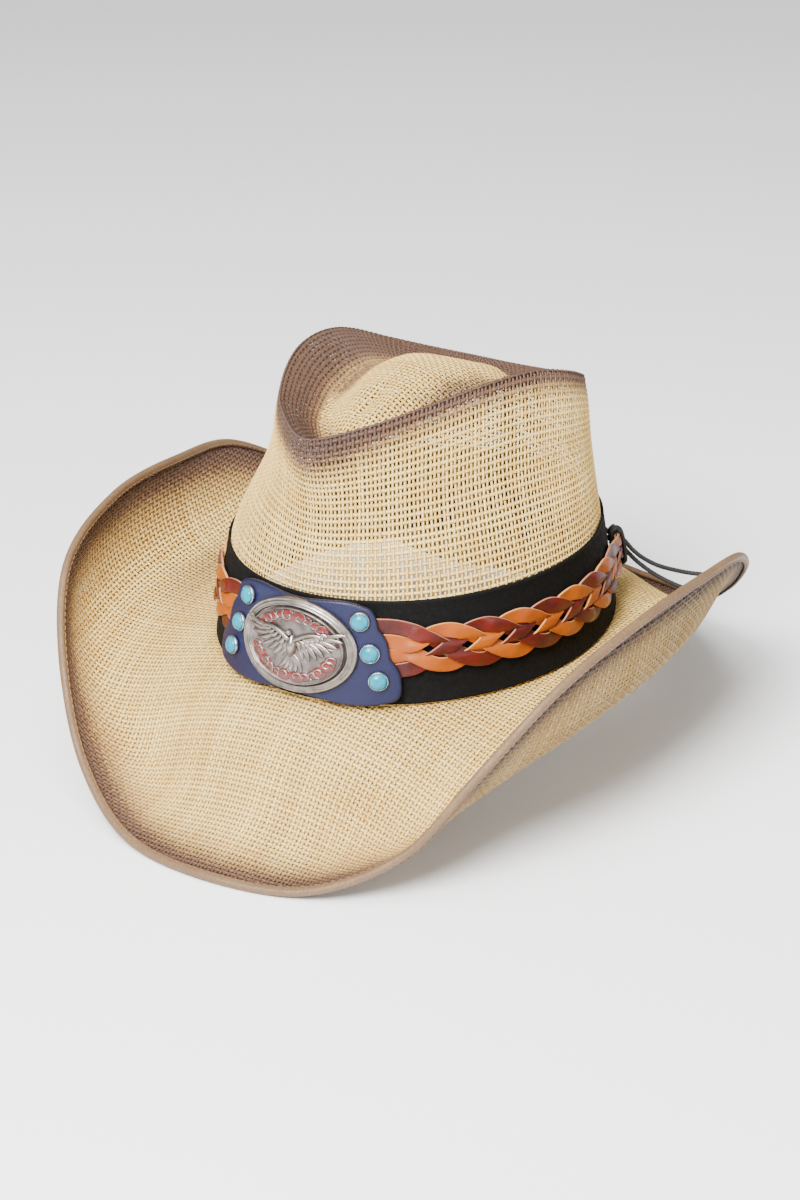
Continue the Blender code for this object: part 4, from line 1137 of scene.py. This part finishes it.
def knot_loop(halves, radius, samples=110):
    """A closed overhand loop that fills a box of half sizes, as along, up and out."""
    t = turns_of(samples)
    x = (np.sin(t) + 2 * np.sin(2 * t)) / 3 * (halves[0] - radius)
    y = (np.cos(t) - 2 * np.cos(2 * t)) / 3 * (halves[1] - radius)
    z = -np.sin(3 * t) * (halves[2] - radius)
    return x, y, z


def add_strand(name, route, material):
    """A loose end of the cord and the knot at its tip."""
    line = smooth_curve(route, np.linspace(0, len(route) - 1, 40 * (len(route) - 1)))
    strand = Bodies().add(cord_rings(line, CORD_RADIUS))
    strand = strand.piece(f"cord_{name}", material, "hatband", "black_cord", f"tie_strand_{name}")
    heading = unit(line[-1] - line[-4])
    middle = line[-1] + heading * (END_KNOT_RADIUS - 0.2)
    a = unit(np.cross(heading, (0.0, 0.0, 1.0)))
    b = np.cross(a, heading)
    x, y, z = knot_loop((END_KNOT_RADIUS + 0.3,) * 3, 0.95)
    loop = middle + x[:, None] * a + y[:, None] * b + z[:, None] * heading
    tail = middle + heading * np.linspace(-1.6, 1.7, 8)[:, None]
    knot = Bodies().add(cord_rings(loop, 0.95, loop=True), loop=True).add(cord_rings(tail, 0.9))
    knot = knot.piece(f"cord_{name}_end_knot", material, "hatband", "black_cord", f"tie_end_knot_{name}")


def add_tie(cord):
    """The cord bound round both braid ends, its knot and the runs laced across the back."""
    half_up = BRAID_HALF * NARROW + STRAP_WIDTH * NARROW / 2 + 0.35 + CORD_RADIUS
    half_out = WEAVE + STRAP / 2 + 0.3 + CORD_RADIUS
    turn = np.linspace(0.2, 2 * math.pi * WRAP_TURNS, 70 * WRAP_TURNS)
    c, s = np.cos(turn), np.sin(turn)
    square = np.maximum(np.abs(c), np.abs(s)) ** -0.5
    along = STRAP_END - WRAP_LENGTH + 1.1 + (WRAP_LENGTH - 2.2) * turn / turn[-1]
    for side, name in SIDES:
        line = band_point(side * along, half_up * square * c, WRAP_OUT + half_out * square * s)
        wrap = Bodies().add(cord_rings(line, 1.0))
        wrap.piece(f"binding_{name}", cord, "hatband", "black_cord", f"tie_wrap_{name}")

    knot_at = STRAP_END + GAP + KNOT[0]
    x, y, z = knot_loop(KNOT, CORD_RADIUS)
    line = band_point(knot_at + x, y, WRAP_OUT + z)
    knot = Bodies().add(cord_rings(line, CORD_RADIUS, loop=True), loop=True)
    knot.piece("cord_knot", cord, "hatband", "black_cord", "tie_knot")

    near, far, back = knot_at + KNOT[0] - 1.2, STRAP_END - 1.0, BAND_LENGTHS[-1]
    resting = GAP + CORD_RADIUS
    for name, up in (("upper", 1.6), ("lower", -1.6)):
        route = [band_point(near, up, WRAP_OUT - 1.2), band_point(near + 8, up * 1.4, resting + 1.2)]
        for share in (0.25, 0.5, 0.75, 1.0):
            route.append(band_point(near + 8 + (back - near - 8) * share, up * 2.2, resting))
        for share in (0.25, 0.5, 0.75):
            route.append(band_point(-(back + (far + 9 - back) * share), up * 2.2, resting))
        route += [band_point(-(far + 8), up * 1.4, resting + 1.2), band_point(-far, up, WRAP_OUT - 1.2)]
        line = smooth_curve(np.array(route), np.linspace(0, len(route) - 1, 320))
        lace = Bodies().add(cord_rings(line, CORD_RADIUS))
        lace.piece(f"lacing_{name}", cord, "hatband", "black_cord", f"tie_lace_{name}")


# ---------------------------------------------------------------- materials

def colour(code):
    """A colour from its web code, as linear light."""
    parts = [int(code[k:k + 2], 16) / 255 for k in (0, 2, 4)]
    return tuple(((p + 0.055) / 1.055) ** 2.4 if p > 0.04045 else p / 12.92 for p in parts) + (1.0,)


class Finish:
    """One material, built of nodes."""

    def __init__(self, name, **sockets):
        self.material = bpy.data.materials.new(name)
        self.material.use_nodes = True
        self.tree = self.material.node_tree
        self.shader = self.tree.nodes["Principled BSDF"]
        for key, value in sockets.items():
            self.shader.inputs[key.replace("_", " ")].default_value = value
        self.spot = self.tree.nodes.new("ShaderNodeTexCoord").outputs["Object"]

    def put(self, socket, value):
        if isinstance(value, bpy.types.NodeSocket):
            self.tree.links.new(value, socket)
        else:
            socket.default_value = value

    def noise(self, scale, detail=3.0):
        node = self.tree.nodes.new("ShaderNodeTexNoise")
        node.inputs["Scale"].default_value = scale
        node.inputs["Detail"].default_value = detail
        self.put(node.inputs["Vector"], self.spot)
        return node.outputs["Fac"]

    def speckle(self, scale, low, high, start=0.0, end=1.0, detail=3.0):
        """Noise between low and high, spread out from start to end."""
        return self.span(self.noise(scale, detail), low, high, start, end)

    def cells(self, scale, feature="F1"):
        node = self.tree.nodes.new("ShaderNodeTexVoronoi")
        node.feature = feature
        node.inputs["Scale"].default_value = scale
        self.put(node.inputs["Vector"], self.spot)
        return node.outputs["Distance"]

    def attribute(self, name):
        node = self.tree.nodes.new("ShaderNodeAttribute")
        node.attribute_name = name
        return node.outputs["Fac"]

    def maths(self, operation, a, b=0.0):
        node = self.tree.nodes.new("ShaderNodeMath")
        node.operation = operation
        self.put(node.inputs[0], a)
        self.put(node.inputs[1], b)
        return node.outputs[0]

    def span(self, value, low, high, start=0.0, end=1.0):
        node = self.tree.nodes.new("ShaderNodeMapRange")
        keys = ("Value", "From Min", "From Max", "To Min", "To Max")
        for key, amount in zip(keys, (value, low, high, start, end)):
            self.put(node.inputs[key], amount)
        return node.outputs["Result"]

    def mix(self, share, a, b, blend="MIX"):
        node = self.tree.nodes.new("ShaderNodeMix")
        node.data_type = "RGBA"
        node.blend_type = blend
        self.put(node.inputs[0], share)
        self.put(node.inputs[6], a)
        self.put(node.inputs[7], b)
        return node.outputs[2]

    def bump(self, height, distance, strength=1.0):
        node = self.tree.nodes.new("ShaderNodeBump")
        node.inputs["Distance"].default_value = distance
        node.inputs["Strength"].default_value = strength
        self.put(node.inputs["Height"], height)
        self.put(self.shader.inputs["Normal"], node.outputs["Normal"])

    def done(self, base, roughness):
        self.put(self.shader.inputs["Base Color"], base)
        self.put(self.shader.inputs["Roughness"], roughness)
        return self.material


def straw_finish():
    """Paper straw: each strand its own tone, airbrushed brown in patches with painted shade in the brim's
    side channels, and painted shade deep in the weave, darkest on each strand's reverse.
    """
    finish = Finish("woven_straw")
    blotch = finish.noise(45.0)
    tone = finish.span(finish.maths("ADD", finish.attribute("tone"), blotch), 0.5, 1.6)
    base = finish.mix(tone, colour("EAC978"), colour("D0A553"))
    spray = finish.speckle(900.0, 0.3, 0.7, -0.10, 0.10, 2.0)
    # The brown mask from the mesh: airbrushed burn, plus painted shade in the brim's side channels; both mix
    # towards this brown.
    burn_and_shade = finish.span(finish.maths("ADD", finish.attribute("burn_and_shade"), spray), 0.04, 0.9)
    deep_brown = finish.mix(finish.span(burn_and_shade, 0.3, 1.0), colour("85603E"), colour("4A3226"))
    base = finish.mix(finish.span(burn_and_shade, 0.0, 0.75), base, deep_brown)
    # Painted shade: a strand's edges and reverse, deep in the weave, are darkened by its depth attribute.
    shaded = finish.mix(1.0, base, colour("4A3320"), "MULTIPLY")
    base = finish.mix(finish.span(finish.attribute("depth"), 0.25, 1.0, 0.0, 0.92), base, shaded)
    finish.bump(finish.noise(2600.0, 2.0), 0.00006, 0.5)
    return finish.done(base, finish.span(blotch, 0.3, 0.7, 0.55, 0.75))


def hem_finish():
    finish = Finish("hem_straw")
    base = finish.mix(finish.noise(60.0), colour("7C6040"), colour("5A432A"))
    base = finish.mix(finish.speckle(900.0, 0.4, 0.7, detail=2.0), base, colour("5E4630"))
    base = finish.mix(finish.attribute("rim"), base, colour("3A2213"))
    finish.bump(finish.cells(900.0), 0.00025, 0.6)
    return finish.done(base, finish.speckle(80.0, 0.3, 0.7, 0.5, 0.7))


def thread_finish(name, light, dark):
    finish = Finish(name)
    base = finish.mix(finish.noise(1500.0), colour(light), colour(dark))
    finish.bump(finish.noise(4000.0), 0.00005, 0.5)
    return finish.done(base, finish.speckle(900.0, 0.3, 0.7, 0.6, 0.8))


def cloth_finish(name, light, dark):
    finish = Finish(name, Specular_IOR_Level=0.15)
    base = finish.mix(finish.speckle(700.0, 0.3, 0.7), colour(light), colour(dark))
    finish.bump(finish.noise(3000.0, 2.0), 0.00008, 0.6)
    return finish.done(base, finish.speckle(500.0, 0.3, 0.7, 0.75, 0.95))


def leather_finish(name, main, deep, raw, gloss=(0.34, 0.5)):
    """Grained leather, paler where its raw edge shows."""
    finish = Finish(name, Specular_IOR_Level=0.35)
    grain = finish.cells(900.0)
    wear = finish.noise(90.0, 4.0)
    base = finish.mix(finish.span(wear, 0.35, 0.68), colour(main), colour(deep))
    edge = finish.maths("ADD", finish.attribute("raw"), finish.span(wear, 0.3, 0.7, -0.15, 0.15))
    base = finish.mix(finish.span(edge, 0.25, 0.85), base, colour(raw))
    finish.bump(finish.maths("ADD", grain, finish.noise(2400.0)), 0.00010, 0.45)
    return finish.done(base, finish.span(wear, 0.3, 0.7, *gloss))


def metal_finish(name, light, dark, rough, dents=0.5):
    """Metal with a patina; dents is how strongly its surface waves."""
    finish = Finish(name, Metallic=1.0)
    patina = finish.noise(260.0, 4.0)
    base = finish.mix(finish.span(patina, 0.3, 0.75), colour(light), colour(dark))
    finish.bump(finish.noise(1600.0), 0.00006, dents)
    return finish.done(base, finish.span(patina, 0.3, 0.7, *rough))


def turquoise_finish():
    finish = Finish("turquoise", Specular_IOR_Level=0.35)
    veins = finish.cells(300.0, "DISTANCE_TO_EDGE")
    cloud = finish.noise(260.0)
    base = finish.mix(finish.span(cloud, 0.3, 0.7), colour("00728A"), colour("008CA2"))
    veins = finish.maths("ADD", veins, finish.speckle(500.0, 0.3, 0.7, -0.02, 0.04))
    base = finish.mix(finish.span(veins, 0.0, 0.05, 0.7, 0.0), base, colour("0A6686"))
    return finish.done(base, finish.span(cloud, 0.3, 0.7, 0.15, 0.3))


def enamel_finish():
    finish = Finish("red_enamel", Coat_Weight=0.4, Coat_Roughness=0.1)
    base = finish.mix(finish.speckle(500.0, 0.35, 0.65), colour("6E1814"), colour("4A1614"))
    return finish.done(base, finish.speckle(800.0, 0.3, 0.7, 0.25, 0.45))


# ---------------------------------------------------------------- stage and camera

def stand(name, data, azimuth, elevation, distance, roll=0.0):
    """A camera or light at a distance from the origin, looking at it."""
    a, e = math.radians(azimuth), math.radians(elevation)
    back = Vector((math.sin(a) * math.cos(e), -math.cos(a) * math.cos(e), math.sin(e)))
    holder = bpy.data.objects.new(name, data)
    bpy.context.scene.collection.objects.link(holder)
    turn = back.to_track_quat("Z", "Y").to_matrix().to_4x4()
    holder.matrix_world = (Matrix.Translation(back * distance) @ turn
                           @ Matrix.Rotation(math.radians(roll), 4, "Z"))
    return holder


def add_camera():
    data = bpy.data.cameras.new("camera")
    data.lens = CAMERA_LENS
    data.shift_x, data.shift_y = CAMERA_SHIFT
    bpy.context.scene.camera = stand("camera", data, CAMERA_AZIMUTH, CAMERA_ELEVATION, CAMERA_DISTANCE,
                                     CAMERA_ROLL)


def add_stage():
    """The pale floor, the even light from all round and the lights."""
    finish = Finish("floor")
    finish.done(finish.mix(finish.noise(3.0), colour("FBFBFB"), colour("FFFFFF")), 0.9)
    low = cad_low[2] / MM - FLOOR_BELOW
    corners = [(x * FLOOR_HALF, y * FLOOR_HALF, low) for x, y in ((-1, -1), (1, -1), (1, 1), (-1, 1))]
    floor = add_mesh("floor", corners, [(0, 1, 2, 3)], finish.material)
    world = bpy.data.worlds.new("studio")
    bpy.context.scene.world = world
    world.use_nodes = True
    around = world.node_tree.nodes["Background"]
    around.inputs["Color"].default_value = (1.0, 1.0, 1.0, 1.0)
    around.inputs["Strength"].default_value = 0.5
    for name, (azimuth, elevation, distance, size, power) in LIGHTS.items():
        data = bpy.data.lights.new(name, "AREA")
        data.shape = "DISK"
        data.size = size
        data.energy = power
        stand(name, data, azimuth, elevation, distance)


# ---------------------------------------------------------------- the whole hat

def build():
    straw = straw_finish()
    hem_straw = hem_finish()
    steel = metal_finish("steel", "A0A2A6", "7F8286", (0.3, 0.5), 0.3)
    ribbon = cloth_finish("ribbon_cloth", "050505", "0A0A0A")
    sweat = cloth_finish("sweat_cloth", "262422", "3A3632")
    pale_thread = thread_finish("hem_thread", "8E6A48", "6F4F34")
    dark_thread = thread_finish("sweatband_thread", "1E1C1A", "34302C")
    navy = leather_finish("navy_leather", "101336", "101234", "0B0D24", (0.42, 0.58))
    tan = leather_finish("tan_leather", "9C4C06", "8A3E04", "C48A50")
    oxblood = leather_finish("oxblood_leather", "5A140C", "380A06", "A86E52")
    pewter = metal_finish("pewter", "A59C95", "6A625D", (0.3, 0.45))
    dark_pewter = metal_finish("dark_pewter", "8E8580", "544C48", (0.38, 0.55))
    silver = metal_finish("silver", "C6C6C8", "8D8D90", (0.2, 0.35), 0.2)
    turquoise = turquoise_finish()
    cord = thread_finish("black_cord", "0D0D0D", "1C1C1C")

    add_camera()
    add_strand("upper", STRAND_UPPER, cord)
    add_strand("lower", STRAND_LOWER, cord)
    add_stage()
    weave_crown(straw)
    brim = Brim()
    weave_brim(straw, brim)
    add_hem(brim, hem_straw, pale_thread)
    add_ribbon(ribbon)
    add_sweatband(sweat, dark_thread)
    add_plaque(navy)
    add_braids(tan, oxblood)
    add_buckle(pewter, dark_pewter, enamel_finish())
    add_studs(silver, turquoise)
    add_tie(cord)
    for name in ("brim_wire", "buckle_screw_left", "buckle_screw_right"):
        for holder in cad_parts[name].material_slots:
            holder.material = steel


build()
